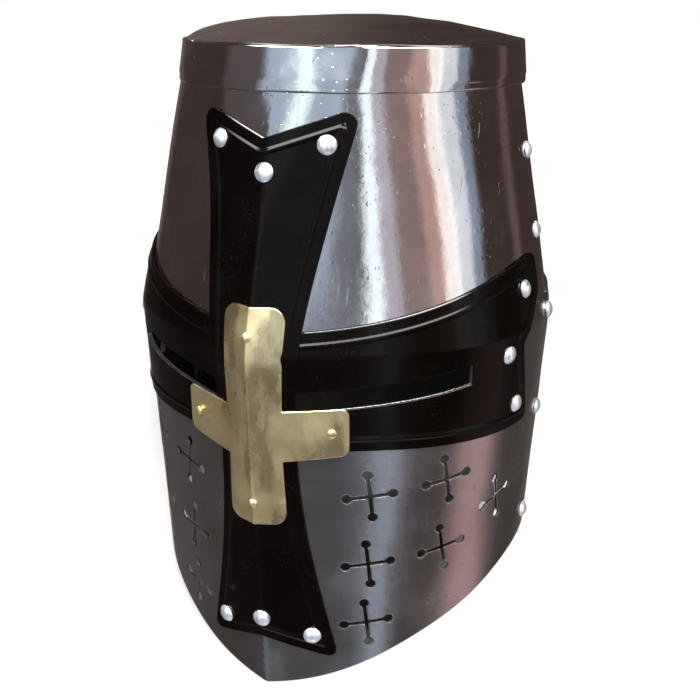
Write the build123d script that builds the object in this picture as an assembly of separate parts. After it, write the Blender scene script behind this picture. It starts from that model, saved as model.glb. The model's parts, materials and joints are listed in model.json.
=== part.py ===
from build123d import *
import os
from collections import namedtuple
from math import cos, hypot, radians, sin

# Great helm of riveted sheet steel, with a creased face, a domed crown cap, a
# blackened sight band and upright bar, a brass cross, a laced leather liner and
# a buckled chin strap.
#
# Millimetres. -Y is the front, +X the side seen on the right from the front, +Z up.
# Heights below are counted from the lowest tip of the face, and every piece is
# lowered by SEAT_HEIGHT when written, so the origin is the crown of the wearer's head.

# ---------------------------------------------------------------- driving sizes
SEAT_HEIGHT = 258.0  # top of the wearer's head above the face tip
SHEET = 1.2  # 18 gauge steel
PITCH = 1.3  # sheet plus the slack between two riveted sheets
BRASS_SHEET = 0.8
ARC = 0.5523  # handle length of a cubic curve that follows a quarter ellipse

# The outer form is ruled between four level sections. Each is egg shaped: front,
# side and back are its reaches from the axis, crease is how far the front turns
# back from square at the middle line (degrees), and reach and belly are the handle
# lengths of the curve from the front to the side.
Level = namedtuple("Level", "height front side back crease reach belly")
TIP = Level(0.0, 102.0, 93.6, 118.8, 11.4, 0.546, 0.604)
WAIST = Level(171.5, 114.2, 103.6, 118.9, 25.4, 0.571, 0.669)
SHOULDER = Level(280.0, 88.8, 84.2, 100.4, 0.0, ARC, ARC)
RIM = Level(300.0, 83.2, 82.2, 100.3, 0.0, ARC, ARC)
LEVELS = [TIP, WAIST, SHOULDER, RIM]

DOME_RISE = 12.0
SKULL_TOP = 296.0  # upper plates end inside the crown cap
WAIST_LAP_LOW = 168.0  # lower edge of the upper plates, inside the lower ones
WAIST_LAP_HIGH = 179.0  # upper edge of the lower plates
SEAM_FRONT_EDGE = -7.0  # front edge of the back plates, inside the side lap
SEAM_BACK_EDGE = 11.0  # rear edge of the front plates
CORNER_RELIEF = 13.0  # where the lower back plate's lap may rise past the waist
HEM_HEIGHT = 51.0  # lower edge at the sides

SIGHT_HEIGHT = 9.5
BREATH_SLOT = 1.8
BREATH_HOLE = 4.7
BREATH_SPAN = 21.4  # between the end holes of one breath cross

LEATHER = 2.4
LINER_LOW = 198.0
LINER_HIGH = 240.0
LINER_OUT = -4.2  # liner's outer face, from the helm's outer form
TAB_COUNT = 8
TAB_GAP = 4.0
TAB_TOP = 266.0
LACE_RADIUS = 1.5

STRAP_WIDTH = 20.0
EAR_X = 94.0  # middle of the strap's thickness where it hangs on its rivet
EAR_TURN_HEIGHT = 108.0
STRAP_LEG_ANGLE = radians(28)
STRAP_BOTTOM = 30.6
BUCKLE_REACH = 42.0  # from the bend of the strap to the buckle's bar
BUCKLE_LENGTH = 20.0
BUCKLE_HALF_WIDTH = 12.5
BUCKLE_WIRE = 1.25
TAIL_LIFT = 5.0  # long strap's middle over the short strap's

Rivet = namedtuple("Rivet", "head_radius head_height shank_radius tail_radius")
STEEL_RIVET = Rivet(4.2, 2.3, 2.0, 3.3)
BRASS_RIVET = Rivet(2.15, 1.2, 1.1, 1.9)
HOLE_SLACK = 0.05
FACE_SLACK = 0.05  # under a rivet head
HEAD_LIP = 0.25
SHANK_GRIP = 0.8  # how far a shank reaches into its head
TAIL_THICKNESS = 1.3
WASHER_SHEET = 1.0
LINER_WASHER = 5.0
LINER_SLACK = 0.25
STRAP_WASHER = 6.0
STRAP_SLACK = 0.3
FAR = 160.0  # past the helm in any direction from its axis
SKY = 320.0  # above the helm


# ------------------------------------------------------------------- the form
def level_points(level, off, tuck):
    """Control points of the right half of one section, from front to back."""
    front = level.front + off
    side = level.side + off - tuck
    back = level.back + off
    lean = radians(level.crease)
    handle = level.reach * side
    return [
        (0.0, -front),
        (handle * cos(lean), -front + handle * sin(lean)),
        (side, -level.belly * front),
        (side, 0.0),
        (side, ARC * back),
        (ARC * side, back),
        (0.0, back),
    ]


def form_points(height, off, tuck=0.0):
    """Control points at any height, on the straight rulings between the levels."""
    upper = 1
    while upper < len(LEVELS) - 1 and height > LEVELS[upper].height:
        upper += 1
    low, high = LEVELS[upper - 1], LEVELS[upper]
    share = (height - low.height) / (high.height - low.height)
    pairs = zip(level_points(low, off, tuck), level_points(high, off, tuck))
    return [(a[0] + share * (b[0] - a[0]), a[1] + share * (b[1] - a[1])) for a, b in pairs]


def section(points, height):
    """Closed wire of four curves through the control points of a right half."""
    right = [Vector(x, y, height) for x, y in points]
    left = [Vector(-x, y, height) for x, y in reversed(points)]
    halves = [right[0:4], right[3:7], left[0:4], left[3:7]]
    return Wire([Bezier(*half) for half in halves])


def block(stations, tuck=0.0):
    """Solid inside the form, ruled between stations of (height, offset)."""
    wires = [section(form_points(z, off, tuck), z) for z, off in stations]
    return Solid.make_loft(wires, ruled=True)


def with_levels(low, high, off):
    """Stations from low to high at one offset, with any level in between."""
    between = [level.height for level in LEVELS if low < level.height < high]
    return [(z, off) for z in [low] + between + [high]]


def sheet(stations, thickness=SHEET, tuck=0.0):
    """Shell whose outer face runs through the stations."""
    inner = [(z, off - thickness) for z, off in stations]
    first, last = inner[0], inner[-1]
    inner = [(first[0] - 1.0, first[1])] + inner[1:-1] + [(last[0] + 1.0, last[1])]
    return block(stations, tuck) - block(inner, tuck)


def quarter(points, share):
    """Point on a cubic curve."""
    rest = 1.0 - share
    weights = (rest**3, 3 * rest**2 * share, 3 * rest * share**2, share**3)
    return [sum(w * p[i] for w, p in zip(weights, points)) for i in (0, 1)]


def on_form(turn, height, off=0.0, tuck=0.0):
    """Point on the form: turn 0 is the front line, 1 the side, 2 the back line."""
    points = form_points(height, off, tuck)
    size = abs(turn)
    hand = -1.0 if turn < 0 else 1.0
    spot = quarter(points[0:4], size) if size <= 1 else quarter(points[3:7], size - 1)
    return Vector(hand * spot[0], spot[1], height)


def normal(turn, height):
    """Outward direction of the form's surface."""
    rise = on_form(turn, height + 2) - on_form(turn, height - 2)
    step = 0.01
    if turn == 0:
        along = Vector(1, 0, 0)
    elif abs(turn) == 2:
        along = Vector(-1, 0, 0)
    else:
        along = on_form(turn + step, height) - on_form(turn - step, height)
    return along.cross(rise).normalized()


def facing(turn, height, level=False):
    """Plane on the form that faces outward, with its Y axis up the surface."""
    out = normal(turn, height)
    if level:
        out = Vector(out.X, out.Y, 0).normalized()
    across = Vector(0, 0, 1).cross(out)
    return Plane(origin=on_form(turn, height), x_dir=across, z_dir=out)


# -------------------------------------------------------------------- cutters
def side_prism(face):
    """A drawing in (y, z), pushed through the helm from side to side."""
    return extrude(Plane.YZ * face, amount=FAR, both=True)


def front_prism(face):
    """A drawing in (x, z), pushed forward from the axis."""
    return extrude(Plane.XZ * face, amount=FAR)


def span(y_low, y_high, z_low, z_high):
    """Drawing of a rectangle in (y, z)."""
    centre = Location(((y_low + y_high) / 2, (z_low + z_high) / 2))
    return centre * Rectangle(y_high - y_low, z_high - z_low)


def both_sides(piece):
    return [piece, mirror(piece, Plane.YZ)]


# --------------------------------------------------------------------- rivets
def dome(rivet):
    """Round head, part of a ball, with a skirt that reaches below its plane."""
    rise = rivet.head_height - HEAD_LIP
    ball_radius = (rivet.head_radius**2 + rise**2) / (2 * rise)
    ball = Pos(0, 0, rivet.head_height - ball_radius) * Sphere(ball_radius)
    return ball & Cylinder(rivet.head_radius, 2 * rivet.head_height)


def pin(place, radius, low, high):
    """Round pin along a plane's normal, between two depths."""
    return place * Pos(0, 0, (low + high) / 2) * Cylinder(radius, high - low)


def hole(place, radius, depth=16.0):
    return extrude(place * Circle(radius + HOLE_SLACK), amount=depth / 2, both=True)


def rivet(kind, place, outside, inside, inner_depth):
    """One rivet: head shaped to the plate's outside, shank, and peened tail.

    inner_depth is how deep below the head's plane the innermost plate ends."""
    head = place * dome(kind) - outside
    tail_end = inner_depth + TAIL_THICKNESS
    tail = pin(place, kind.tail_radius, -tail_end, 2.0 - inner_depth) & inside
    return head.fuse(pin(place, kind.shank_radius, -tail_end + 0.3, SHANK_GRIP), tail)


# ------------------------------------------------------------------ placements
BAR_TOP_RIVETS = [(-0.18, 259.6), (0.0, 247.6), (0.18, 259.6)]
BAR_BOTTOM_RIVETS = [(-0.15, 30.4), (0.0, 38.5), (0.15, 30.4)]
BAND_RIVETS = [(0.855, 190.4), (0.763, 163.5), (0.823, 136.4)]
CROSS_RIVETS = [(0.0, 179.8), (-0.207, 136.3), (0.207, 136.3), (0.0, 101.8)]
SEAM_TURN = 1.02
UPPER_SEAM_HEIGHTS = [250.0, 212.0]
LOWER_SEAM_HEIGHTS = [172.5, 62.0]
STRAP_RIVET_HEIGHT = 121.0
LINER_RIVET_HEIGHT = 212.0
BACK_RIVET_TURNS = [-1.72, -1.36, 1.36, 1.72, 2.0]
BACK_RIVET_HEIGHT = 173.5
LINER_BACK_TURNS = [-1.62, 1.62]

# breath crosses on one side: columns of (turn, heights, tilt in degrees)
BREATHS = [(0.319, (103.2, 67.9, 36.0), 5.5), (0.565, (107.9, 71.9), 8.0), (0.785, (89.0,), 10.0)]


def bar_stations(lift):
    """The upright bar lies over the band at its middle and on the plates at its ends."""
    over_band = PITCH + 0.1
    marks = [(10.0, 0.1), (118.0, over_band), (WAIST.height, over_band), (186.0, over_band)]
    marks.append((SHOULDER.height, -SHEET))
    return [(z, off + lift) for z, off in marks]


def cross_stations(off):
    return with_levels(84.0, 200.0, off)


CROSS_OUT = 3.8
CROSS_TUCK = 8.0  # the arms lean in from the bar to the band


# ------------------------------------------------------------------ hole lists
def strap_rivet_plane(hand):
    """The chin strap's rivets lie along X, so the strap swings about one line."""
    spot = on_form(hand * SEAM_TURN, STRAP_RIVET_HEIGHT)
    return Plane(origin=spot, x_dir=(0, hand, 0), z_dir=(hand, 0, 0))


def all_holes():
    steel = [facing(t, z) for t, z in BAR_TOP_RIVETS + BAR_BOTTOM_RIVETS]
    steel += [facing(hand * t, z) for t, z in BAND_RIVETS for hand in (-1, 1)]
    for hand in (-1, 1):
        steel += [facing(hand * SEAM_TURN, z) for z in UPPER_SEAM_HEIGHTS + LOWER_SEAM_HEIGHTS]
        steel.append(strap_rivet_plane(hand))
    steel += [facing(t, BACK_RIVET_HEIGHT) for t in BACK_RIVET_TURNS]
    steel += [facing(t, LINER_RIVET_HEIGHT) for t in LINER_BACK_TURNS]
    brass = [facing(t, z) for t, z in CROSS_RIVETS]
    holes = [hole(place, STEEL_RIVET.shank_radius) for place in steel]
    holes += [hole(place, BRASS_RIVET.shank_radius) for place in brass]
    return holes


def drilled(plate, holes):
    """Cut the holes that reach this plate."""
    box = plate.bounding_box()
    margin = 3.0
    near = [
        h
        for h in holes
        if h.bounding_box().max.X > box.min.X - margin
        and h.bounding_box().min.X < box.max.X + margin
        and h.bounding_box().max.Z > box.min.Z - margin
        and h.bounding_box().min.Z < box.max.Z + margin
    ]
    return plate - near if near else plate


# ---------------------------------------------------------------- steel plates
def hem_drawing():
    """Side view of what the lower plates keep: above the swept edge."""
    edge = Spline((-118, -14), (-101.5, 0.2), (-92, 8.6), (-75.2, 23.3), (-52.5, 37), (-26.9, 47.3),
                  (0, HEM_HEIGHT), (60, HEM_HEIGHT), (FAR, HEM_HEIGHT))
    rest = Polyline((FAR, HEM_HEIGHT), (FAR, 200), (-118, 200), (-118, -14))
    return make_face(edge + rest)


def sight_slot():
    """The right sight: a long level slot that rises a little toward the side."""
    view = facing(0.37, 153.0, level=True)
    middle = [(0.1, 149.6), (0.24, 151.6), (0.42, 154.4), (0.622, 158.6)]
    flat = [view.to_local_coords(on_form(t, z)) for t, z in middle]
    half = SIGHT_HEIGHT / 2
    low = [(p.X, p.Y - half) for p in flat]
    high = [(p.X, p.Y + half) for p in flat]
    outline = Spline(*low) + Line(low[-1], high[-1]) + Spline(*reversed(high)) + Line(high[0], low[0])
    face = make_face(outline)
    return extrude(view * face, amount=30, both=True)


def breath_cross(turn, height, tilt):
    place = facing(turn, height) * Rot(0, 0, tilt)
    half = BREATH_SPAN / 2
    drawing = Rectangle(BREATH_SPAN, BREATH_SLOT) + Rectangle(BREATH_SLOT, BREATH_SPAN)
    ends = [(half, 0), (-half, 0), (0, half), (0, -half)]
    for spot in ends:
        drawing += Location(spot) * Circle(BREATH_HOLE / 2)
    return extrude(place * drawing, amount=9, both=True)


def breath_cutters():
    right = [breath_cross(t, z, tilt) for t, heights, tilt in BREATHS for z in heights]
    return right + [mirror(cut, Plane.YZ) for cut in right]


def cap_block(low, off):
    """Walls that carry on past the rim, cut by a shallow dome."""
    stations = [(low, off), (SHOULDER.height, off)] if low < SHOULDER.height else [(low, off)]
    walls = block(stations + [(SKY, off)])
    return walls & dome_ball(off)


def crown_cap():
    """Flanged cap of one sheet."""
    return cap_block(SHOULDER.height, 0.0) - cap_block(SHOULDER.height - 1, -SHEET)


def dome_ball(drop):
    """Large ball, drawn out front to back, that meets the walls at the rim's height."""
    side = RIM.side
    ball_radius = (side**2 + DOME_RISE**2) / (2 * DOME_RISE)
    stretch = (RIM.front + RIM.back) / (2 * side)
    ball = scale(Sphere(ball_radius), by=(1, stretch, 1))
    return Pos(0, (RIM.back - RIM.front) / 2, RIM.height + DOME_RISE - ball_radius + drop) * ball


def upper_plate(is_front, holes):
    stations = with_levels(WAIST_LAP_LOW, SKULL_TOP, -PITCH)
    if is_front:
        plate = sheet(stations) & side_prism(span(-FAR, SEAM_BACK_EDGE, 0, SKY))
    else:
        plate = sheet(stations, tuck=PITCH) & side_prism(span(SEAM_FRONT_EDGE, FAR, 0, SKY))
    return drilled(plate, holes)


def face_plate(holes):
    plate = sheet(with_levels(-1.0, WAIST_LAP_HIGH, 0.0))
    plate &= side_prism(span(-FAR, SEAM_BACK_EDGE, -20, SKY))
    plate &= side_prism(hem_drawing())
    plate -= breath_cutters() + both_sides(sight_slot())
    return drilled(plate, holes)


def neck_plate(holes):
    """Lower back plate: its lap inside the face plate stops below the waist lap."""
    keep = span(SEAM_FRONT_EDGE, FAR, 0, WAIST_LAP_LOW - 1) + span(CORNER_RELIEF, FAR, 0, SKY)
    plate = sheet(with_levels(20.0, WAIST_LAP_HIGH, 0.0), tuck=PITCH)
    plate &= side_prism(keep)
    plate &= side_prism(hem_drawing())
    return drilled(plate, holes)


# -------------------------------------------------------------- black fittings
def band_drawing():
    """Side view of the sight band, with the swallow-tailed end."""
    front = -126.0
    low, high = (front, 127.6), (front, 179.6)
    low_corner = (-20.0, 124.6)
    notch = (-33.0, 166.0)
    shoulder = (-11.0, 188.0)
    top_corner = (-11.0, 205.0)
    top = Spline(top_corner, (-38, 201.6), (-62, 195.2), (-82, 188.4), (-100, 182.6), high)
    sides = Polyline(high, low, low_corner, notch, shoulder, top_corner)
    face = make_face(top + sides)
    face = fillet(corner_at(face, top_corner), 6.0)
    face = fillet(corner_at(face, shoulder), 8.0)
    face = fillet(corner_at(face, low_corner), 3.5)
    return fillet(corner_at(face, notch), 3.0)


def corner_at(face, spot):
    """The drawing's corner nearest to a spot."""
    return min(face.vertices(), key=lambda v: hypot(v.X - spot[0], v.Y - spot[1]))


BAND_STATIONS = [(118.0, PITCH), (171.5, PITCH), (180.0, PITCH), (212.0, 0.3)]


def eye_band(holes):
    band = sheet(BAND_STATIONS) & side_prism(band_drawing())
    band -= both_sides(sight_slot())
    return drilled(band, holes)


def bar_drawing():
    """Front view of the upright bar: waisted, with a swallow tail at each end."""
    top_right, top_left = (38.0, 275.5), (-37.6, 275.0)
    bottom_right, bottom_left = (34.4, 17.0), (-32.6, 17.6)
    top_notch, bottom_notch = (-2.5, 261.5), (-0.5, 28.0)
    waist_right = [(25.4, 61.6), (20.4, 95.6), (18.4, 128.0), (20.7, 180.0), (29.6, 234.6)]
    waist_left = [(-29.5, 232.0), (-25.2, 183.0), (-19.4, 128.0), (-20.2, 95.6), (-24.9, 57.0)]
    right = Spline(bottom_right, *waist_right, top_right)
    left = Spline(top_left, *waist_left, bottom_left)
    top = Polyline(top_right, top_notch, top_left)
    bottom = Polyline(bottom_left, bottom_notch, bottom_right)
    face = make_face(right + top + left + bottom)
    for corner in (top_right, top_left):
        face = fillet(corner_at(face, corner), 5.5)
    for corner in (bottom_right, bottom_left):
        face = fillet(corner_at(face, corner), 3.5)
    return face


def upright_bar(holes):
    bar = sheet(bar_stations(SHEET)) & front_prism(bar_drawing())
    return drilled(bar, holes)


def cross_drawing():
    """Front view of the brass cross."""
    top, bottom = 193.0, 90.6
    arm_high, arm_low = 146.6, 122.4
    half, low_half, arm = 14.8, 13.2, 39.9
    right = [(half, top), (half - 1.3, arm_high), (arm, arm_high + 1.2), (arm, arm_low + 2.8)]
    right += [(low_half, arm_low), (low_half + 0.9, bottom)]
    left = [(-x, z) for x, z in reversed(right)]
    face = make_face(Polyline(*right, *left, close=True))
    for x in (half, -half):
        face = fillet(corner_at(face, (x, top)), 7.5)
    for x in (low_half + 0.9, -low_half - 0.9):
        face = fillet(corner_at(face, (x, bottom)), 6.0)
    for x in (arm, -arm):
        face = fillet(corner_at(face, (x, arm_high + 1.2)), 3.5)
        face = fillet(corner_at(face, (x, arm_low + 2.8)), 4.5)
    return face


def brass_cross(holes):
    cross = sheet(cross_stations(CROSS_OUT), BRASS_SHEET, CROSS_TUCK) & front_prism(cross_drawing())
    return drilled(cross, holes)


# --------------------------------------------------------------------- leather
def head_band(holes):
    """Leather band round the head, inside the upper plates."""
    band = sheet(with_levels(LINER_LOW, LINER_HIGH, LINER_OUT), LEATHER)
    return drilled(band, holes)


def crown_wire(off, height):
    """Small egg-shaped ring in which the crown tabs end."""
    front, side, back = 26.0 + off, 24.0 + off, 30.0 + off
    points = [(0, -front), (ARC * side, -front), (side, -ARC * front), (side, 0)]
    points += [(side, ARC * back), (ARC * side, back), (0, back)]
    return section(points, height)


def crown_tabs():
    """Leather tabs that rise from the head band and meet over the head."""
    base = LINER_HIGH + 0.3
    drop = LEATHER * 1.08
    outer = [section(form_points(base, LINER_OUT), base), crown_wire(0, TAB_TOP)]
    inner = [section(form_points(base - drop, LINER_OUT), base - drop), crown_wire(0, TAB_TOP - drop)]
    cone = Solid.make_loft(outer, ruled=True) - Solid.make_loft(inner, ruled=True)
    cone -= Pos(0, 0, TAB_TOP) * Cylinder(19.0, 30)
    cone &= Pos(0, 0, base + 30) * Box(FAR * 2, FAR * 2, 60)
    for i in range(TAB_COUNT):
        slit = Rot(0, 0, 360 * (i + 0.5) / TAB_COUNT) * Pos(FAR / 2, 0, 255) * Box(FAR, TAB_GAP, 60)
        cone -= slit
    return Compound(children=list(cone.solids()))


def tab_lace():
    """Lace drawn round through the tips of the tabs."""
    height = TAB_TOP + LACE_RADIUS - 0.4
    return Pos(0, 2, height) * Torus(29.0, LACE_RADIUS)


def leg_plane():
    """Plane on the left leg of the strap at the buckle's bar: X down the leg, Z outward."""
    down = Vector(sin(STRAP_LEG_ANGLE), 0, -cos(STRAP_LEG_ANGLE))
    out = Vector(-cos(STRAP_LEG_ANGLE), 0, -sin(STRAP_LEG_ANGLE))
    bend = Vector(-EAR_X, strap_y(), EAR_TURN_HEIGHT)
    return Plane(origin=bend + down * BUCKLE_REACH, x_dir=down, z_dir=out)


def strap_y():
    return on_form(SEAM_TURN, STRAP_RIVET_HEIGHT).Y


def ribbon(path):
    """Flat strap along a path drawn in (x, z), centred on the strap's plane."""
    face = trace(path, LEATHER)
    flat = Plane(origin=(0, strap_y(), 0), x_dir=(1, 0, 0), z_dir=(0, -1, 0))
    return extrude(flat * face, amount=STRAP_WIDTH / 2, both=True)


def leg_point(u, w):
    spot = leg_plane().from_local_coords(Vector(u, 0, w))
    return (spot.X, spot.Z)


def ear_hole(hand):
    radius = STEEL_RIVET.shank_radius + 0.1
    place = strap_rivet_plane(hand)
    return extrude(place * Circle(radius), amount=12, both=True)


def long_strap():
    tail = leg_point(-22.0, TAIL_LIFT)
    low = leg_point(42.0, TAIL_LIFT)
    ear_top = (EAR_X, STRAP_RIVET_HEIGHT + 11)
    corners = [tail, (low[0], STRAP_BOTTOM), (-low[0], STRAP_BOTTOM), (EAR_X, EAR_TURN_HEIGHT), ear_top]
    strap = ribbon(FilletPolyline(*corners, radius=[20.0, 20.0, 12.0]))
    strap -= ear_hole(1)
    slot = leg_plane() * Pos(9.3, 0, TAIL_LIFT) * extrude(SlotOverall(13.0, 3.2), amount=2, both=True)
    strap -= slot
    for step in (1, 2):
        strap -= leg_plane() * Pos(2 - 9.0 * step, 0, TAIL_LIFT) * Cylinder(1.4, 4)
    return strap


def short_strap():
    bar = leg_point(0, 0)
    ear_top = (-EAR_X, STRAP_RIVET_HEIGHT + 11)
    path = FilletPolyline(ear_top, (-EAR_X, EAR_TURN_HEIGHT), bar, radius=12.0)
    strap = ribbon(path)
    place = leg_plane() * Rot(90, 0, 0)
    strap += place * Cylinder(3.2, STRAP_WIDTH)
    strap -= place * Cylinder(BUCKLE_WIRE + 0.15, STRAP_WIDTH + 2)
    strap -= leg_plane() * Pos(3.0, 0, 0) * Box(16.0, 3.6, 12)
    strap -= ear_hole(-1)
    return strap


def rod(start, end, radius):
    """Round rod between two points."""
    line = Vector(*end) - Vector(*start)
    place = Plane(origin=start, z_dir=line)
    return extrude(place * Circle(radius), amount=line.length)


def buckle_frame():
    rise = TAIL_LIFT + LEATHER / 2 + 0.3 + BUCKLE_WIRE
    half = BUCKLE_HALF_WIDTH
    corners = [(0, -half, 0), (0, half, 0), (BUCKLE_LENGTH, half, rise), (BUCKLE_LENGTH, -half, rise)]
    frame = None
    for start, end in zip(corners, corners[1:] + corners[:1]):
        bar = rod(start, end, BUCKLE_WIRE) + Pos(*start) * Sphere(BUCKLE_WIRE)
        frame = bar if frame is None else frame + bar
    return leg_plane() * frame


def buckle_prong():
    """Tongue that turns on the bar, passes up through the strap and rests on the frame."""
    rise = TAIL_LIFT + LEATHER / 2 + 0.3 + 2 * BUCKLE_WIRE
    radius = 1.0
    ring = Rot(90, 0, 0) * (Cylinder(2.7, 2.8) - Cylinder(BUCKLE_WIRE + 0.1, 4))
    reach = rod((2.0, 0, 1.4), (BUCKLE_LENGTH + 1.5, 0, rise + radius + 1.1), radius)
    return leg_plane() * (ring + reach)


# ---------------------------------------------------------------------- rivets
def plate_bodies():
    """Solid bodies within the faces that rivets sit on, outside and in."""
    upper = (150.0, SKULL_TOP)
    lower = (10.0, 180.0)
    out = FACE_SLACK
    inner = -SHEET - FACE_SLACK
    return {
        "bar": block(bar_stations(SHEET + out)),
        "band": block([(z, off + out) for z, off in BAND_STATIONS]),
        "cross": block(cross_stations(CROSS_OUT + out), CROSS_TUCK),
        "upper": block(with_levels(*upper, out - PITCH)),
        "lower": block(with_levels(*lower, out)),
        "upper_back": block(with_levels(*upper, out - PITCH), PITCH),
        "lower_back": block(with_levels(*lower, out), PITCH),
        "in_upper": block(with_levels(*upper, inner - PITCH)),
        "in_lower": block(with_levels(*lower, inner)),
        "in_upper_back": block(with_levels(*upper, inner - PITCH), PITCH),
        "in_lower_back": block(with_levels(*lower, inner), PITCH),
    }


def group(pieces):
    solids = [solid for piece in pieces for solid in piece.solids()]
    return Compound(children=solids)


def face_offset(stations, height):
    """Offset of a plate's outer face at a height, between its stations."""
    for (low, a), (high, b) in zip(stations, stations[1:]):
        if height <= high:
            return a + (b - a) * (height - low) / (high - low)
    return stations[-1][1]


def lift_to(place, spot):
    """How far a spot stands out from a plane."""
    return (spot - place.origin).dot(place.z_dir)


def under(height):
    """Body and depth of the sheets under the fittings at a height."""
    if height > WAIST_LAP_LOW:
        return "in_upper", PITCH + SHEET + HOLE_SLACK
    return "in_lower", SHEET + HOLE_SLACK


def front_rivet(kind, turn, height, lift, outside, bodies):
    """Rivet through a fitting that stands lift above the form, and the sheets under it."""
    place = facing(turn, height).offset(lift)
    inside, depth = under(height)
    return rivet(kind, place, outside, bodies[inside], lift + depth)


def bar_rivets(spots, bodies):
    made = []
    for turn, height in spots:
        lift = face_offset(bar_stations(SHEET), height)
        made.append(front_rivet(STEEL_RIVET, turn, height, lift, bodies["bar"], bodies))
    return group(made)


def band_rivets(hand, bodies):
    made = []
    for turn, height in BAND_RIVETS:
        lift = face_offset(BAND_STATIONS, height)
        made.append(front_rivet(STEEL_RIVET, hand * turn, height, lift, bodies["band"], bodies))
    return group(made)


def cross_rivets(bodies):
    made = []
    for turn, height in CROSS_RIVETS:
        lift = lift_to(facing(turn, height), on_form(turn, height, CROSS_OUT, CROSS_TUCK))
        made.append(front_rivet(BRASS_RIVET, turn, height, lift, bodies["cross"], bodies))
    return group(made)


def upper_seam_rivets(hand, bodies):
    """Side seam of the upper plates. The lower rivet also holds the head band."""
    made = []
    for height in UPPER_SEAM_HEIGHTS:
        place = facing(hand * SEAM_TURN, height).offset(-PITCH)
        if height == LINER_RIVET_HEIGHT:
            made.append(liner_rivet(place, bodies["upper"], -PITCH - LINER_OUT + LEATHER))
        else:
            depth = PITCH + SHEET + HOLE_SLACK
            made.append(rivet(STEEL_RIVET, place, bodies["upper"], bodies["in_upper_back"], depth))
    return group(made)


def lower_seam_rivets(hand, bodies):
    """Side seam of the lower plates, apart from the one the chin strap hangs on."""
    made = []
    for height in LOWER_SEAM_HEIGHTS:
        place = facing(hand * SEAM_TURN, height)
        three_sheets = height > WAIST_LAP_LOW
        inside = "in_upper_back" if three_sheets else "in_lower_back"
        depth = (2 if three_sheets else 1) * PITCH + SHEET + HOLE_SLACK
        made.append(rivet(STEEL_RIVET, place, bodies["lower"], bodies[inside], depth))
    return group(made)


def liner_rivet(place, outside, depth):
    """Rivet that also holds the head band: long shank and a flat washer inside."""
    head = place * dome(STEEL_RIVET) - outside
    inner = -depth - LINER_SLACK
    shank = pin(place, STEEL_RIVET.shank_radius, inner - 0.5, SHANK_GRIP)
    washer = pin(place, LINER_WASHER, inner - WASHER_SHEET, inner)
    return head.fuse(shank, washer)


def strap_rivet(hand, bodies):
    """Side seam rivet that the chin strap hangs and swings on."""
    place = strap_rivet_plane(hand)
    head = place * dome(STEEL_RIVET) - bodies["lower"]
    inner = EAR_X - LEATHER / 2 - STRAP_SLACK - abs(place.origin.X)
    shank = pin(place, STEEL_RIVET.shank_radius, inner - 0.5, SHANK_GRIP)
    washer = pin(place, STRAP_WASHER, inner - WASHER_SHEET, inner)
    return head.fuse(shank, washer)


def back_waist_rivets(bodies):
    made = []
    for turn in BACK_RIVET_TURNS:
        place = facing(turn, BACK_RIVET_HEIGHT)
        place = place.offset(lift_to(place, on_form(turn, BACK_RIVET_HEIGHT, 0, PITCH)))
        depth = PITCH + SHEET + HOLE_SLACK
        made.append(rivet(STEEL_RIVET, place, bodies["lower_back"], bodies["in_upper_back"], depth))
    return group(made)


def liner_back_rivets(bodies):
    made = []
    for turn in LINER_BACK_TURNS:
        place = facing(turn, LINER_RIVET_HEIGHT)
        lift = lift_to(place, on_form(turn, LINER_RIVET_HEIGHT, -PITCH, PITCH))
        made.append(liner_rivet(place.offset(lift), bodies["upper_back"], lift - LINER_OUT + LEATHER))
    return group(made)


# --------------------------------------------------------------------- writing
def build():
    holes = all_holes()
    bodies = plate_bodies()
    made = {
        "crown_cap": crown_cap(),
        "upper_front_plate": upper_plate(True, holes),
        "upper_back_plate": upper_plate(False, holes),
        "face_plate": face_plate(holes),
        "neck_plate": neck_plate(holes),
        "eye_band": eye_band(holes),
        "upright_bar": upright_bar(holes),
        "brass_cross": brass_cross(holes),
        "head_band": head_band(holes),
        "crown_tabs": crown_tabs(),
        "tab_lace": tab_lace(),
        "chin_strap_long": long_strap(),
        "chin_strap_short": short_strap(),
        "buckle_frame": buckle_frame(),
        "buckle_prong": buckle_prong(),
        "bar_top_rivets": bar_rivets(BAR_TOP_RIVETS, bodies),
        "bar_bottom_rivets": bar_rivets(BAR_BOTTOM_RIVETS, bodies),
        "cross_rivets": cross_rivets(bodies),
        "back_waist_rivets": back_waist_rivets(bodies),
        "liner_rivets": liner_back_rivets(bodies),
    }
    for hand, name in ((1, "right"), (-1, "left")):
        made[f"band_rivets_{name}"] = band_rivets(hand, bodies)
        made[f"upper_seam_rivets_{name}"] = upper_seam_rivets(hand, bodies)
        made[f"lower_seam_rivets_{name}"] = lower_seam_rivets(hand, bodies)
        made[f"strap_rivet_{name}"] = strap_rivet(hand, bodies)
    return made


os.makedirs("parts", exist_ok=True)
for node, piece in build().items():
    export_step(Pos(0, 0, -SEAT_HEIGHT) * piece, f"parts/{node}.step")
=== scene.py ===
import json
from collections import namedtuple
from math import atan2, cos, hypot, pi, radians, sin, sqrt, tan

import bmesh
import bpy
import numpy as np
from mathutils import Matrix, Vector, geometry

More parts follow.
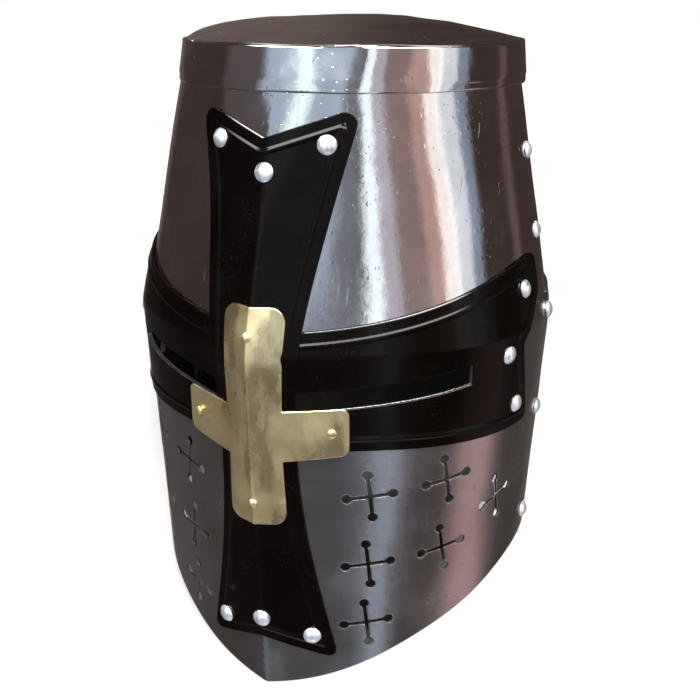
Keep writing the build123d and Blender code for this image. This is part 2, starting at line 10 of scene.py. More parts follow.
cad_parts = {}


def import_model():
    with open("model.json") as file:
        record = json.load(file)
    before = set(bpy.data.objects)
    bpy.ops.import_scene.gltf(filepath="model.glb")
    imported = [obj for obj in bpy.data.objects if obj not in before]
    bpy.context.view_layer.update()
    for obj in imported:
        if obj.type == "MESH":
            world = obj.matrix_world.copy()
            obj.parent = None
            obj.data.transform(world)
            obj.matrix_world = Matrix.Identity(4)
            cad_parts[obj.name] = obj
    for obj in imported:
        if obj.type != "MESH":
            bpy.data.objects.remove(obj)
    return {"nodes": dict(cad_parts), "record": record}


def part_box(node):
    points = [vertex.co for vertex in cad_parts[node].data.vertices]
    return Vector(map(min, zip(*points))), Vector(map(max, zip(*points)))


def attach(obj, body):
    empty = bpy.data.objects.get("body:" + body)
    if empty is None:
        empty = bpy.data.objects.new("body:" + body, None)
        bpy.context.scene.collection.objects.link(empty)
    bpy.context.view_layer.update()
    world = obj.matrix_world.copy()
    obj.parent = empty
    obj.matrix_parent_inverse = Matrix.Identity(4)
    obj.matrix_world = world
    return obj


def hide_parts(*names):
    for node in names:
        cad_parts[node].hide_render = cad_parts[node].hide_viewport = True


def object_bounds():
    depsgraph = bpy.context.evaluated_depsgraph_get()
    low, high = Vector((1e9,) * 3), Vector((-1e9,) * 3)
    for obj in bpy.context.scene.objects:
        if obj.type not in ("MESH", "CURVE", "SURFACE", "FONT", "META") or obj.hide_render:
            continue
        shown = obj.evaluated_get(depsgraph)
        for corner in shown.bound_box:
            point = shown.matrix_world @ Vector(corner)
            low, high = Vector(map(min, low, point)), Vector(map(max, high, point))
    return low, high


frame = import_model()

CAD_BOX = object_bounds()

# Looks of the great helm. The CAD nodes fix where everything is; the sheet plates, the leather
# and the laces are rebuilt here as finer meshes in the same places.
#
# Shapes are worked out in millimetres, with heights above the tip of the face, on the same
# egg-shaped form as the CAD plates, and turned into metres in the frame when a mesh is made.
MM = 0.001
WAIST_LAP_LOW, WAIST_LAP_HIGH = 168.0, 179.0
TIP_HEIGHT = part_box("upper_front_plate")[0].z - WAIST_LAP_LOW * MM  # the frame's height of the tip

SHEET, BRASS_SHEET, LEATHER = 1.2, 0.8, 2.4  # thicknesses
PITCH = 1.3  # from a sheet to the one that laps it
ARC = 0.5523  # handle of a cubic curve that follows a quarter ellipse

# Level sections of the form: how far it reaches to the front, the side and the back of the axis,
# how many degrees each half leans back from the front line, and the handles of its front curve.
Level = namedtuple("Level", "height front side back crease reach belly")
LEVELS = [
    Level(0.0, 102.0, 93.6, 118.8, 11.4, 0.546, 0.604),
    Level(171.5, 114.2, 103.6, 118.9, 25.4, 0.571, 0.669),
    Level(280.0, 88.8, 84.2, 100.4, 0.0, ARC, ARC),
    Level(300.0, 83.2, 82.2, 100.3, 0.0, ARC, ARC),
]
RIM = LEVELS[3]
SKULL_TOP = 296.0
DOME_RISE = 12.0
DOME_FLAT, DOME_LEFT = 1.3, 3.6  # how much lower it is hammered, and how much fuller its left is
SEAM_FRONT_EDGE, SEAM_BACK_EDGE, CORNER_RELIEF = -7.0, 11.0, 13.0
HEM_HEIGHT = 51.0


def unit(vectors):
    """Vectors in rows, each made one long."""
    return vectors / np.linalg.norm(vectors, axis=1, keepdims=True)


def distances(run):
    """How far along a polyline each of its points is."""
    return np.concatenate([[0], np.linalg.norm(np.diff(run, axis=0), axis=1).cumsum()])


def along_run(at, distance, run):
    """Points at distances along a polyline."""
    return np.stack([np.interp(at, distance, run[:, i]) for i in range(run.shape[1])], -1)


def cubic(u):
    """Shares of a cubic curve's four control points at u."""
    return (1 - u) ** 3, 3 * u * (1 - u) ** 2, 3 * u * u * (1 - u), u**3


def smooth_step(value, middle, width):
    share = np.clip((value - middle) / width + 0.5, 0, 1)
    return share * share * (3 - 2 * share)


# ------------------------------------------------------------------------------- the form
def level_points(level, off, tuck):
    """Control points of the right half of a level section, for arrays of offsets."""
    front, side, back = level.front + off, level.side + off - tuck, level.back + off
    lean, handle = radians(level.crease), level.reach * side
    none = np.zeros_like(front)
    xs = [none, handle * cos(lean), side, side, side, ARC * side, none]
    ys = [-front, handle * sin(lean) - front, -level.belly * front, none, ARC * back, back, back]
    return np.stack([np.stack(xs, -1), np.stack(ys, -1)], -1)


def on_form(turn, z, off=0.0, tuck=0.0):
    """Points on the form: turn 0 is the front line, 1 the side and 2 the back line."""
    turn, z, off, tuck = np.broadcast_arrays(*[np.asarray(v, float) for v in (turn, z, off, tuck)])
    levels = np.stack([level_points(level, off, tuck) for level in LEVELS])
    heights = np.array([level.height for level in LEVELS])
    upper = np.clip(np.searchsorted(heights, z), 1, len(LEVELS) - 1)
    share = ((z - heights[upper - 1]) / (heights[upper] - heights[upper - 1]))[..., None, None]
    row = np.arange(z.size).reshape(z.shape)
    flat = levels.reshape(len(LEVELS), -1, 7, 2)
    points = flat[upper - 1, row] * (1 - share) + flat[upper, row] * share
    size = np.abs(turn)
    fore = (size <= 1)[..., None, None]
    points = np.where(fore, points[..., 0:4, :], points[..., 3:7, :])
    u = np.where(size <= 1, size, size - 1)
    xy = (np.stack(cubic(u), -1)[..., None] * points).sum(-2)
    x = xy[..., 0] * np.where(turn < 0, -1.0, 1.0)
    return np.stack([x, xy[..., 1], z], -1)


def turn_where(axis, value, z, off=0.0, tuck=0.0, reach=2.0):
    """The turn at which the form's x (axis 0) or y (axis 1) has a value, by halving."""
    value, z = np.broadcast_arrays(np.asarray(value, float), np.asarray(z, float))
    low, high = np.zeros(z.shape), np.full(z.shape, reach)
    for _ in range(30):
        middle = (low + high) / 2
        below = on_form(middle, z, off, tuck)[..., axis] < value
        low, high = np.where(below, middle, low), np.where(below, high, middle)
    return (low + high) / 2


class Unrolled:
    """The form laid flat: across is the distance round it from the front or back line."""

    LOW, HIGH, RISE = -6.0, 324.0, 3.0  # heights in the tables, and the step from one to the next
    REACH, STEP = 360.0, 0.5  # how far across they go, and in which steps
    TURN_STEPS = 800

    def __init__(self, from_back):
        self.hand = -1.0 if from_back else 1.0
        self.heights = np.arange(self.LOW, self.HIGH, self.RISE)
        turns = np.linspace(0, 2, self.TURN_STEPS + 1)
        grid = on_form(turns[None, :], self.heights[:, None])
        steps = np.linalg.norm(np.diff(grid, axis=1), axis=2)
        self.length = np.concatenate([np.zeros((len(steps), 1)), steps.cumsum(1)], 1)
        if from_back:
            self.length = self.length[:, -1:] - self.length
        order = -1 if from_back else 1
        across = np.arange(0.0, self.REACH, self.STEP)
        self.turns = np.array([np.interp(across, row[::order], turns[::order]) for row in self.length])

    def lookup(self, table, column, z):
        row = np.clip((z - self.LOW) / self.RISE, 0, len(self.heights) - 1.001)
        column = np.clip(column, 0, table.shape[1] - 1.001)
        r, c = row.astype(int), column.astype(int)
        dr, dc = row - r, column - c
        low = table[r, c] * (1 - dc) + table[r, c + 1] * dc
        high = table[r + 1, c] * (1 - dc) + table[r + 1, c + 1] * dc
        return low * (1 - dr) + high * dr

    def turn(self, spots):
        found = self.lookup(self.turns, np.abs(spots[:, 0]) / self.STEP, spots[:, 1])
        return found * np.where(spots[:, 0] < 0, -1.0, 1.0) * self.hand

    def flat(self, turn, z):
        """(across, height) of points given by turn; the right side for turns above 0."""
        turn, z = np.broadcast_arrays(np.asarray(turn, float), np.asarray(z, float))
        found = self.lookup(self.length, np.abs(turn) * self.TURN_STEPS / 2, z)
        return np.stack([found * np.where(turn < 0, -1.0, 1.0) * self.hand, z], -1)


FRONT, BACK = Unrolled(False), Unrolled(True)


# ------------------------------------------------------------------------ hammered surface
def make_waves(seed, count, shortest, longest, slope):
    """Random plane waves whose slopes add up to about slope, in radians."""
    rng = np.random.default_rng(seed)
    ways = unit(rng.normal(size=(count, 3)))
    lengths = rng.uniform(shortest, longest, count)
    vectors = ways * (2 * pi / lengths)[:, None]
    heights = slope * lengths / (2 * pi) * np.sqrt(2 / count)
    return vectors, heights, rng.uniform(0, 2 * pi, count)


WAVES = make_waves(seed=11, count=48, shortest=26.0, longest=85.0, slope=0.013)
DENT_FLOOR = 0.25  # keeps the dents below the form's true face


def dents(points):
    """Depth of the hammer marks below the form at points, and how the depth changes there."""
    vectors, heights, phases = WAVES
    angle = points @ vectors.T + phases
    depth = DENT_FLOOR + (heights * np.cos(angle)).sum(-1)
    change = -(heights * np.sin(angle)) @ vectors
    return depth, change


# ------------------------------------------------------------------------- flat outlines
SAME_POINT = 0.02  # nearer than this, two points are one


def resample(run, step):
    """A polyline's points, spaced evenly at about step."""
    along = distances(run)
    count = max(2, int(round(along[-1] / step)) + 1)
    return along_run(np.linspace(0, along[-1], count), along, run)


def spline(*points):
    """Smooth curve through points, as many short runs."""
    points = np.array(points, float)
    knots = distances(points)
    gaps = np.diff(knots)
    count = len(points)
    system = np.eye(count)
    right = np.zeros((count, 2))
    slopes = np.diff(points, axis=0) / gaps[:, None]
    for i in range(1, count - 1):
        system[i, i - 1 : i + 2] = gaps[i - 1], 2 * (gaps[i - 1] + gaps[i]), gaps[i]
        right[i] = 6 * (slopes[i] - slopes[i - 1])
    bends = np.linalg.solve(system, right)
    at = np.linspace(0, knots[-1], 40 * count)
    k = np.clip(np.searchsorted(knots, at, side="right") - 1, 0, count - 2)
    a, b, gap = (knots[k + 1] - at)[:, None], (at - knots[k])[:, None], gaps[k][:, None]
    curve = (bends[k] * a**3 + bends[k + 1] * b**3) / (6 * gap)
    curve += (points[k] / gap - bends[k] * gap / 6) * a
    return curve + (points[k + 1] / gap - bends[k + 1] * gap / 6) * b


def line(*points):
    """Straight runs through points, as many short ones."""
    points = np.array(points, float)
    share = np.linspace(0, 1, 60)[:, None]
    return np.concatenate([a + (b - a) * share for a, b in zip(points, points[1:])])


def trimmed(run, start, end):
    """A polyline with a length taken off each end."""
    along = distances(run)
    keep = (along > start) & (along < along[-1] - end)
    ends = along_run([start, along[-1] - end], along, run)
    return np.concatenate([ends[:1], run[keep], ends[1:]])


def direction(a, b):
    return (b - a) / max(1e-9, np.linalg.norm(b - a))


def corner_bend(come, leave):
    """Angle from one way to another, above 0 to the left."""
    return atan2(come[0] * leave[1] - come[1] * leave[0], float(come @ leave))


def outline(runs, radii, step):
    """Closed loop of runs that meet end to end, each corner rounded: radii[i] where run i starts."""
    count = len(runs)
    corners = []
    for i in range(count):
        before, after = runs[i - 1], runs[i]
        come, leave = direction(before[-4], before[-1]), direction(after[0], after[3])
        bend = abs(corner_bend(come, leave))
        corners.append((bend, come, leave, radii[i] * tan(bend / 2)))
    pieces = []
    for i in range(count):
        bend, come, leave, length = corners[i]
        if length > 0:
            spot = runs[i][0]
            handle = 4 / 3 * tan(bend / 4) * radii[i]
            ends = spot - come * length, spot + leave * length
            curve = [ends[0], ends[0] + come * handle, ends[1] - leave * handle, ends[1]]
            u = np.linspace(0, 1, max(4, int(bend * radii[i] / (0.5 * step)) + 2))[:, None]
            pieces.append(sum(share * point for share, point in zip(cubic(u), curve)))
        pieces.append(resample(trimmed(runs[i], length, corners[(i + 1) % count][3]), step))
    loop = np.concatenate(pieces)
    gaps = np.linalg.norm(loop - np.roll(loop, 1, axis=0), axis=1)
    return loop[gaps > SAME_POINT]


def mirrored(run):
    """The same run on the other side, travelled the other way."""
    return (run * [-1.0, 1.0])[::-1]


def turned(loop, anticlockwise):
    ahead = np.roll(loop, -1, axis=0)
    area = (loop[:, 0] * ahead[:, 1] - loop[:, 1] * ahead[:, 0]).sum()
    return loop if (area > 0) == anticlockwise else loop[::-1]


def facing(loops):
    """The outer loop anticlockwise and the holes clockwise, so the sheet is left of every edge."""
    return [turned(loops[0], True)] + [turned(hole, False) for hole in loops[1:]]


def from_side(sheet, run, off):
    """A run drawn in the side view (y, z), laid on the flat form; what is past the front line goes."""
    y, z = run[:, 0], run[:, 1]
    kept = y > on_form(0.0, z, off)[:, 1]
    turn = turn_where(1, y[kept], z[kept], off)
    flat = sheet.flat(turn, z[kept])
    if kept.all():
        return flat
    edge = np.array([[0.0, z[np.flatnonzero(kept)[0 if not kept[0] else -1]]]])
    return np.concatenate([edge, flat]) if not kept[0] else np.concatenate([flat, edge])


def from_front(run, off, tuck=0.0):
    """A run drawn in the front view (x, z), laid on the flat form."""
    x, z = run[:, 0], run[:, 1]
    turn = turn_where(0, np.abs(x), z, off(z), tuck, reach=1.0) * np.sign(x)
    return FRONT.flat(turn, z)


# ------------------------------------------------------------------------- sheet meshes
CHUNK = 1500  # spots looked at together, to spare memory


def nearest(spots, loops):
    """Distance from each flat spot to the nearest edge, and the way from that edge into the sheet."""
    starts = np.concatenate(loops)
    runs = np.concatenate([np.roll(loop, -1, axis=0) for loop in loops]) - starts
    sizes = (runs**2).sum(1)
    inward = np.stack([-runs[:, 1], runs[:, 0]], -1) / np.sqrt(sizes)[:, None]
    gaps, ways = [], []
    for i in range(0, len(spots), CHUNK):
        away = spots[i : i + CHUNK, None, :] - starts[None]
        share = np.clip((away * runs).sum(2) / sizes, 0, 1)
        squares = ((away - share[..., None] * runs) ** 2).sum(2)
        best = squares.argmin(1)
        gaps.append(np.sqrt(squares[np.arange(len(best)), best]))
        ways.append(inward[best])
    return np.concatenate(gaps), np.concatenate(ways)


def within(spots, loops):
    """True where a flat spot is inside the outer loop and outside the holes."""
    starts = np.concatenate(loops)
    ends = np.concatenate([np.roll(loop, -1, axis=0) for loop in loops])
    rise = np.where(ends[:, 1] == starts[:, 1], 1.0, ends[:, 1] - starts[:, 1])
    slope = (ends[:, 0] - starts[:, 0]) / rise
    found = []
    for i in range(0, len(spots), CHUNK):
        x, z = spots[i : i + CHUNK, 0:1], spots[i : i + CHUNK, 1:2]
        straddles = (starts[:, 1] > z) != (ends[:, 1] > z)
        crossings = straddles & (x < starts[:, 0] + (z - starts[:, 1]) * slope)
        found.append(crossings.sum(1) % 2 == 1)
    return np.concatenate(found)


EDGE_ROWS = [0.12, 0.35, 0.8]  # rows of points in from a cut edge
EDGE_ROLL = 0.35  # how wide a cut edge is rounded
EDGE_DROP = 0.22  # and how deep
ROW_CLEAR = 0.3  # how far past the edge's rows the others start
Rib = namedtuple("Rib", "middle half height")
RIB_ROWS = [-1.3, -1.0, -0.66, -0.33, 0.0, 0.33, 0.66, 1.0, 1.3]
RIDGE_ROWS = [-1.0, -0.5, 0.0, 0.5, 1.0]


def inset_rows(loops, depths, clear):
    """Rows of points at depths in from the loops, without those that run too near another edge."""
    rows = []
    for loop in loops:
        way = unit(np.roll(loop, -1, axis=0) - np.roll(loop, 1, axis=0))
        inward = np.stack([-way[:, 1], way[:, 0]], -1)
        rows += [loop + inward * depth for depth in depths]
    spots = np.concatenate(rows)
    depth_of = np.concatenate([np.full(len(loop), d) for loop in loops for d in depths])
    gap, _ = nearest(spots, loops)
    keep = (gap > depth_of - 0.03) & within(spots, clear)
    return spots[keep]


def grid_in(loops, spacing, margin):
    """Evenly staggered points inside the loops, with a column on the middle line."""
    low, high = loops[0].min(0), loops[0].max(0)
    rise = spacing * 0.866
    rows = []
    for k in range(int((high[1] - low[1]) / rise) + 1):
        z = low[1] + (k + 0.5) * rise
        columns = np.arange(-int(-low[0] / spacing) - 1, int(high[0] / spacing) + 2) * spacing
        shifted = columns + (spacing / 2 if k % 2 else 0)
        shifted = np.append(shifted, 0.0) if k % 2 else shifted
        rows.append(np.stack([shifted, np.full(len(shifted), z)], -1))
    spots = np.concatenate(rows)
    spots = spots[within(spots, loops)]
    gap, _ = nearest(spots, loops)
    return spots[gap > margin]


def clear_of_edges(spots, loops):
    """The spots that stay clear of the rows along the edges."""
    gap, _ = nearest(spots, loops)
    return spots[gap > EDGE_ROWS[-1] + ROW_CLEAR]


def ridge_columns(loops, ridge):
    """Columns of points along the middle line, where a fold stands up as a ridge."""
    low, high = loops[0][:, 1].min(), loops[0][:, 1].max()
    z, share = np.meshgrid(np.arange(low, high, 1.5), RIDGE_ROWS)
    columns = np.stack([(share * ridge.half).ravel(), z.ravel()], -1)
    return clear_of_edges(columns[within(columns, loops)], loops)


def triangulated(loops, rib, spacing, ridge=None):
    """Flat spots and triangles that fill the outer loop less its holes."""
    spots = [inset_rows(loops, EDGE_ROWS, loops)]
    margin = 0.4 * spacing
    filling = grid_in(loops, spacing, EDGE_ROWS[-1] + 0.45 * spacing)
    if rib:
        rows = inset_rows(loops[:1], [rib.middle + share * rib.half for share in RIB_ROWS], loops)
        spots.append(clear_of_edges(rows, loops))
        gap, _ = nearest(filling, loops[:1])
        filling = filling[np.abs(gap - rib.middle) > RIB_ROWS[-1] * rib.half + margin]
    if ridge:
        spots.append(ridge_columns(loops, ridge))
        filling = filling[np.abs(filling[:, 0]) > ridge.half + margin]
    flat = np.concatenate([*loops, *spots, filling])
    edges, start = [], 0
    for loop in loops:
        edges += [(start + i, start + (i + 1) % len(loop)) for i in range(len(loop))]
        start += len(loop)
    made = geometry.delaunay_2d_cdt([Vector(p) for p in flat], edges, [], 0, 1e-4)
    flat = np.array([tuple(v) for v in made[0]])
    faces = np.array([f for f in made[2] if len(f) == 3])
    return flat, faces[within(flat[faces].mean(1), loops)]


def rolled(gap, drop):
    """Height of a rounded edge, below 0, at a distance in from it, and the slope there."""
    left = np.clip(1 - gap / EDGE_ROLL, 0, 1)
    return -drop * left**2, 2 * drop / EDGE_ROLL * left


def embossed(rib, gap):
    """Height of a pressed rib at a distance in from the outline, and the slope there."""
    share = np.clip((gap - rib.middle) / rib.half, -1, 1)
    steepest = rib.height * pi / (2 * rib.half)
    return rib.height * np.cos(share * pi / 2) ** 2, -steepest * np.sin(share * pi)


def skin(unrolled, flat, off, tuck, lift, tilt):
    """Points and normals of a face: the form at an offset, dented, raised by lift, leaning by tilt."""
    step = 0.4

    def base(dx, dz):
        spots = flat + [dx, dz]
        return on_form(unrolled.turn(spots), spots[:, 1], off(spots[:, 1]), tuck)

    points = base(0, 0)
    along, rise = unit(base(step, 0) - base(-step, 0)), unit(base(0, step) - base(0, -step))
    out = unit(np.cross(along, rise))
    depth, change = dents(on_form(unrolled.turn(flat), flat[:, 1]))
    normals = out + change - (change * out).sum(1, keepdims=True) * out
    normals -= tilt[:, 0:1] * along + tilt[:, 1:2] * rise
    return points + out * (lift - depth)[:, None], unit(normals)


def to_frame(points):
    """Millimetres above the tip to metres in the frame."""
    return points * MM + np.array([0.0, 0.0, TIP_HEIGHT])


def linked(name, data):
    """A new object in the scene."""
    made = bpy.data.objects.new(name, data)
    bpy.context.scene.collection.objects.link(made)
    return made


def new_object(name, points, faces, finishes=(), which=None, normals=None, layout=None):
    """A mesh object from arrays. which is the finish of each face; normals and layout go by corner."""
    mesh = bpy.data.meshes.new(name)
    mesh.from_pydata(points.tolist(), [], [list(f) for f in faces])
    for finish in finishes:
        mesh.materials.append(finish)
    if which is not None:
        mesh.polygons.foreach_set("material_index", which)
    mesh.polygons.foreach_set("use_smooth", np.ones(len(mesh.polygons), bool))
    if layout is not None:
        metres = (layout * MM).astype(np.float32)
        mesh.uv_layers.new(name="unrolled").data.foreach_set("uv", metres.ravel())
    mesh.update()
    if normals is not None:
        mesh.normals_split_custom_set(normals.tolist())
    return linked(name, mesh)


def grid_faces(grid):
    """Faces between neighbours in a grid of point numbers."""
    around = [grid[:-1, :-1], grid[:-1, 1:], grid[1:, 1:], grid[1:, :-1]]
    return np.stack(around, -1).reshape(-1, 4)


def closing(faces, count):
    """The other side of a sheet of faces, count points on, and walls along the edges of both."""
    edges = np.concatenate([faces[:, [0, 1]], faces[:, [1, 2]], faces[:, [2, 0]]])
    _, first, uses = np.unique(np.sort(edges, axis=1), axis=0, return_index=True, return_counts=True)
    rim = edges[first[uses == 1]]
    walls = np.stack([rim[:, 1], rim[:, 0], rim[:, 0] + count, rim[:, 1] + count], -1)
    return faces[:, ::-1] + count, walls


def sheet_plate(
    name,
    unrolled,
    loops,
    off,
    finishes,
    tuck=0.0,
    thickness=SHEET,
    rib=None,
    ridge=None,
    spacing=3.0,
    drop=EDGE_DROP,
):
    """A closed sheet plate over the form: outer face, inner face and cut edges."""
    loops = facing(loops)
    flat, faces = triangulated(loops, rib, spacing, ridge)
    gap, inward = nearest(flat, loops)
    lift, slope = rolled(gap, drop)
    tilt = slope[:, None] * inward
    pressed = np.zeros(len(flat))
    if rib:
        rib_gap, rib_inward = nearest(flat, loops[:1])
        pressed, rib_slope = embossed(rib, rib_gap)
        tilt += rib_slope[:, None] * rib_inward
        lift = lift + pressed
    if ridge:
        raised, ridge_slope = embossed(ridge, flat[:, 0])
        lift = lift + raised
        tilt[:, 0] += ridge_slope
    outer, outer_normals = skin(unrolled, flat, off, tuck, lift, tilt)
    inner, inner_normals = skin(unrolled, flat, lambda z: off(z) - thickness, tuck, pressed, tilt * 0)
    inner_faces, walls = closing(faces, len(flat))
    points = np.concatenate([outer, inner])
    starts = points[walls[:, 0]]
    away = unit(np.cross(points[walls[:, 1]] - starts, points[walls[:, 3]] - starts))
    normals = [
        outer_normals[faces].reshape(-1, 3),
        -inner_normals[faces[:, ::-1]].reshape(-1, 3),
        np.repeat(away, 4, axis=0),
    ]
    sides = [faces, inner_faces, walls]
    both = np.concatenate([flat, flat])
    # The walls of the sights and breaths take the near-black inside finish: painted shade on the cut edges
    # of the holes.
    hole_wall_shaded = nearest(flat[walls[:, 1]], loops[:1])[0] > SAME_POINT
    which = np.concatenate([np.zeros(len(faces)), np.ones(len(faces)), hole_wall_shaded]).astype(np.int32)
    return new_object(
        name,
        to_frame(points),
        [face for side in sides for face in side.tolist()],
        finishes,
        which,
        np.concatenate(normals),
        np.concatenate([both[side].reshape(-1, 2) for side in sides]),
    )


# ------------------------------------------------------------------------------ materials
class Finish:
    """A material on one Principled surface, with short calls for the nodes that feed it."""

    def __init__(self, name, **constants):
        self.material = bpy.data.materials.new(name)
        self.material.use_nodes = True
        self.tree = self.material.node_tree
        self.surface = self.tree.nodes["Principled BSDF"]
        for key, value in constants.items():
            self.surface.inputs[key.replace("_", " ")].default_value = value

    def join(self, value, socket):
        """Link a value from another node, or set a plain one."""
        if isinstance(value, bpy.types.NodeSocket):
            self.tree.links.new(value, socket)
        else:
            socket.default_value = value

    def node(self, kind, inputs=None, **settings):
        made = self.tree.nodes.new("ShaderNode" + kind)
        for key, value in settings.items():
            setattr(made, key, value)
        for key, value in (inputs or {}).items():
            self.join(value, made.inputs[key])
        return made

    def place(self, stretch=(1.0, 1.0, 1.0), layout=False):
        """Metres on the piece, or on the unrolled sheet, each axis multiplied by stretch."""
        if layout:
            source = self.node("UVMap", uv_map="unrolled").outputs["UV"]
        else:
            source = self.node("TexCoord").outputs["Object"]
        return self.node("Mapping", {"Vector": source, "Scale": stretch}).outputs["Vector"]

    def noise(self, vector, scale, detail=4.0, rough=0.5):
        inputs = {"Vector": vector, "Scale": scale, "Detail": detail, "Roughness": rough}
        return self.node("TexNoise", inputs).outputs["Fac"]

    def cells(self, vector, scale, feature="F1"):
        made = self.node("TexVoronoi", {"Vector": vector, "Scale": scale}, feature=feature)
        return made.outputs["Distance"]

    def span(self, value, low, high, to_low=0.0, to_high=1.0):
        inputs = {"Value": value, "From Min": low, "From Max": high, "To Min": to_low, "To Max": to_high}
        return self.node("MapRange", inputs, interpolation_type="SMOOTHSTEP").outputs["Result"]

    def maths(self, operation, a, b):
        return self.node("Math", {0: a, 1: b}, operation=operation).outputs[0]

    def blend(self, factor, a, b):
        """Colour a where factor is 0 and b where it is 1."""
        made = self.node("Mix", None, data_type="RGBA")
        for key, kind, value in (("Factor", "VALUE", factor), ("A", "RGBA", a), ("B", "RGBA", b)):
            self.join(value, next(s for s in made.inputs if s.name == key and s.type == kind))
        return next(s for s in made.outputs if s.type == "RGBA")

    def tones(self, value, low, high, dark, light):
        """From a dark colour to a light one as a value goes from low to high."""
        return self.blend(self.span(value, low, high), rgb(*dark), rgb(*light))

    def patchy(self, value, vector, scale, detail, low, high):
        """A value kept only where a coarse noise is high."""
        return self.maths("MULTIPLY", value, self.span(self.noise(vector, scale, detail), low, high))

    def feed(self, key, value):
        self.tree.links.new(value, self.surface.inputs[key])

    def bump(self, height, distance, strength=1.0, under=None):
        inputs = {"Height": height, "Distance": distance, "Strength": strength}
        if under is not None:
            inputs["Normal"] = under
        return self.node("Bump", inputs).outputs["Normal"]


def rgb(r, g, b):
    return (r, g, b, 1.0)


def scratches(finish, place, scale, share):
    """Hair-thin lines in a few directions: 1 on a scratch, 0 elsewhere."""
    found = None
    for k, angle in enumerate((0.35, 1.25, 2.3)):
        inputs = {"Vector": place, "Rotation": (0.3 * k, 0.2, angle), "Scale": (1.0, 0.03, 0.03)}
        rotated = finish.node("Mapping", inputs).outputs["Vector"]
        thin = finish.span(finish.noise(rotated, scale * (1 + 0.3 * k), 1.0), share, share + 0.03)
        found = thin if found is None else finish.maths("MAXIMUM", found, thin)
    return finish.patchy(found, place, 45.0, 3.0, 0.52, 0.66)


def polished_steel():
    """Skull and cap: bright, with pits, fine scratches and slight staining."""
    f = Finish("polished_steel", Metallic=1.0)
    place = f.place()
    patch = f.noise(place, 28.0, 6.0, 0.62)
    base = f.tones(patch, 0.35, 0.68, (0.63, 0.60, 0.585), (0.74, 0.725, 0.72))
    pits = f.patchy(f.span(f.cells(place, 380.0), 0.17, 0.09), place, 34.0, 3.0, 0.50, 0.64)
    smudge = f.span(f.noise(f.place((1.0, 1.0, 0.6)), 55.0, 7.0, 0.68), 0.52, 0.72)
    worn = f.maths("MAXIMUM", pits, scratches(f, place, 1500.0, 0.74))
    f.feed("Base Color", f.blend(pits, base, rgb(0.30, 0.27, 0.25)))
    brushed = f.noise(f.place((1.0, 12.0, 1.0), layout=True), 420.0, 3.0)
    rough = f.span(brushed, 0.3, 0.7, 0.055, 0.095)
    rough = f.maths("ADD", rough, f.span(patch, 0.45, 0.75, 0.0, 0.07))
    rough = f.maths("ADD", rough, f.maths("MULTIPLY", smudge, 0.10))
    f.feed("Roughness", f.maths("ADD", rough, f.maths("MULTIPLY", worn, 0.2)))
    normal = f.bump(f.noise(place, 105.0, 4.0, 0.55), 0.00010, 0.75)
    normal = f.bump(f.noise(place, 330.0, 3.0, 0.6), 0.000022, 0.8, normal)
    drops = f.patchy(f.span(f.cells(place, 210.0), 0.26, 0.10), place, 40.0, 2.0, 0.48, 0.60)
    normal = f.bump(drops, 0.00005, 0.5, normal)
    normal = f.bump(brushed, 0.00002, 0.4, normal)
    f.feed("Normal", f.bump(worn, -0.00010, 0.5, normal))
    return f.material


def satin_steel():
    """Face and neck plates: brushed round the helm, so reflections smear up and down."""
    f = Finish("satin_steel", Metallic=1.0, Anisotropic=0.55, Anisotropic_Rotation=0.25)
    place = f.place()
    brushed = f.noise(f.place((1.0, 30.0, 1.0), layout=True), 260.0, 4.0, 0.6)
    patch = f.noise(place, 22.0, 5.0, 0.6)
    base = f.tones(patch, 0.3, 0.7, (0.47, 0.455, 0.45), (0.57, 0.56, 0.56))
    f.feed("Base Color", f.blend(f.span(brushed, 0.35, 0.75, 0.0, 0.35), base, rgb(0.38, 0.37, 0.365)))
    rough = f.span(brushed, 0.3, 0.7, 0.15, 0.22)
    f.feed("Roughness", f.maths("ADD", rough, f.span(patch, 0.35, 0.8, 0.0, 0.08)))
    normal = f.bump(f.noise(place, 90.0, 3.0), 0.00012, 0.4)
    normal = f.bump(brushed, 0.00003, 0.8, normal)
    f.feed("Normal", f.bump(scratches(f, place, 1300.0, 0.73), -0.00008, 0.6, normal))
    f.feed("Tangent", f.node("Tangent", direction_type="UV_MAP", uv_map="unrolled").outputs["Tangent"])
    return f.material


def blackened_inside_and_painted_shade():
    """Inside of the plates, left dark from the forge and oiled, and kept near black as painted shade inside
    the helm; on the walls of the holes it is painted shade.
    """
    f = Finish("blackened_inside_and_painted_shade", Metallic=0.6)
    place = f.place()
    patch = f.noise(place, 40.0, 6.0, 0.65)
    f.feed("Base Color", f.tones(patch, 0.35, 0.7, (0.020, 0.016, 0.014), (0.060, 0.050, 0.044)))
    f.feed("Roughness", f.span(patch, 0.3, 0.7, 0.5, 0.7))
    f.feed("Normal", f.bump(f.noise(place, 400.0, 4.0), 0.0001, 0.6))
    return f.material


def black_lacquer():
    """Gloss black paint with orange peel, dust specks and pale scuffs."""
    f = Finish("black_lacquer", Coat_Weight=0.06, Coat_Roughness=0.05, Specular_IOR_Level=0.09)
    place = f.place()
    cloud = f.noise(place, 30.0, 5.0, 0.6)
    specks = f.patchy(f.span(f.cells(place, 900.0), 0.17, 0.09), place, 55.0, 3.0, 0.52, 0.68)
    smears = f.span(f.noise(place, 75.0, 7.0, 0.7), 0.60, 0.72)
    smears = f.maths("MULTIPLY", smears, f.span(cloud, 0.5, 0.68))
    worn = f.maths("MAXIMUM", f.maths("MULTIPLY", specks, 0.8), f.maths("MULTIPLY", smears, 0.4))
    base = f.tones(cloud, 0.3, 0.7, (0.0014, 0.0007, 0.0005), (0.0026, 0.0015, 0.0012))
    f.feed("Base Color", f.blend(worn, base, rgb(0.030, 0.030, 0.032)))
    rough = f.span(cloud, 0.3, 0.7, 0.15, 0.24)
    f.feed("Roughness", f.maths("ADD", rough, f.maths("MULTIPLY", worn, 0.4)))
    normal = f.bump(f.noise(place, 180.0, 2.0), 0.00007, 0.5)
    f.feed("Normal", f.bump(worn, 0.00005, 0.5, normal))
    return f.material


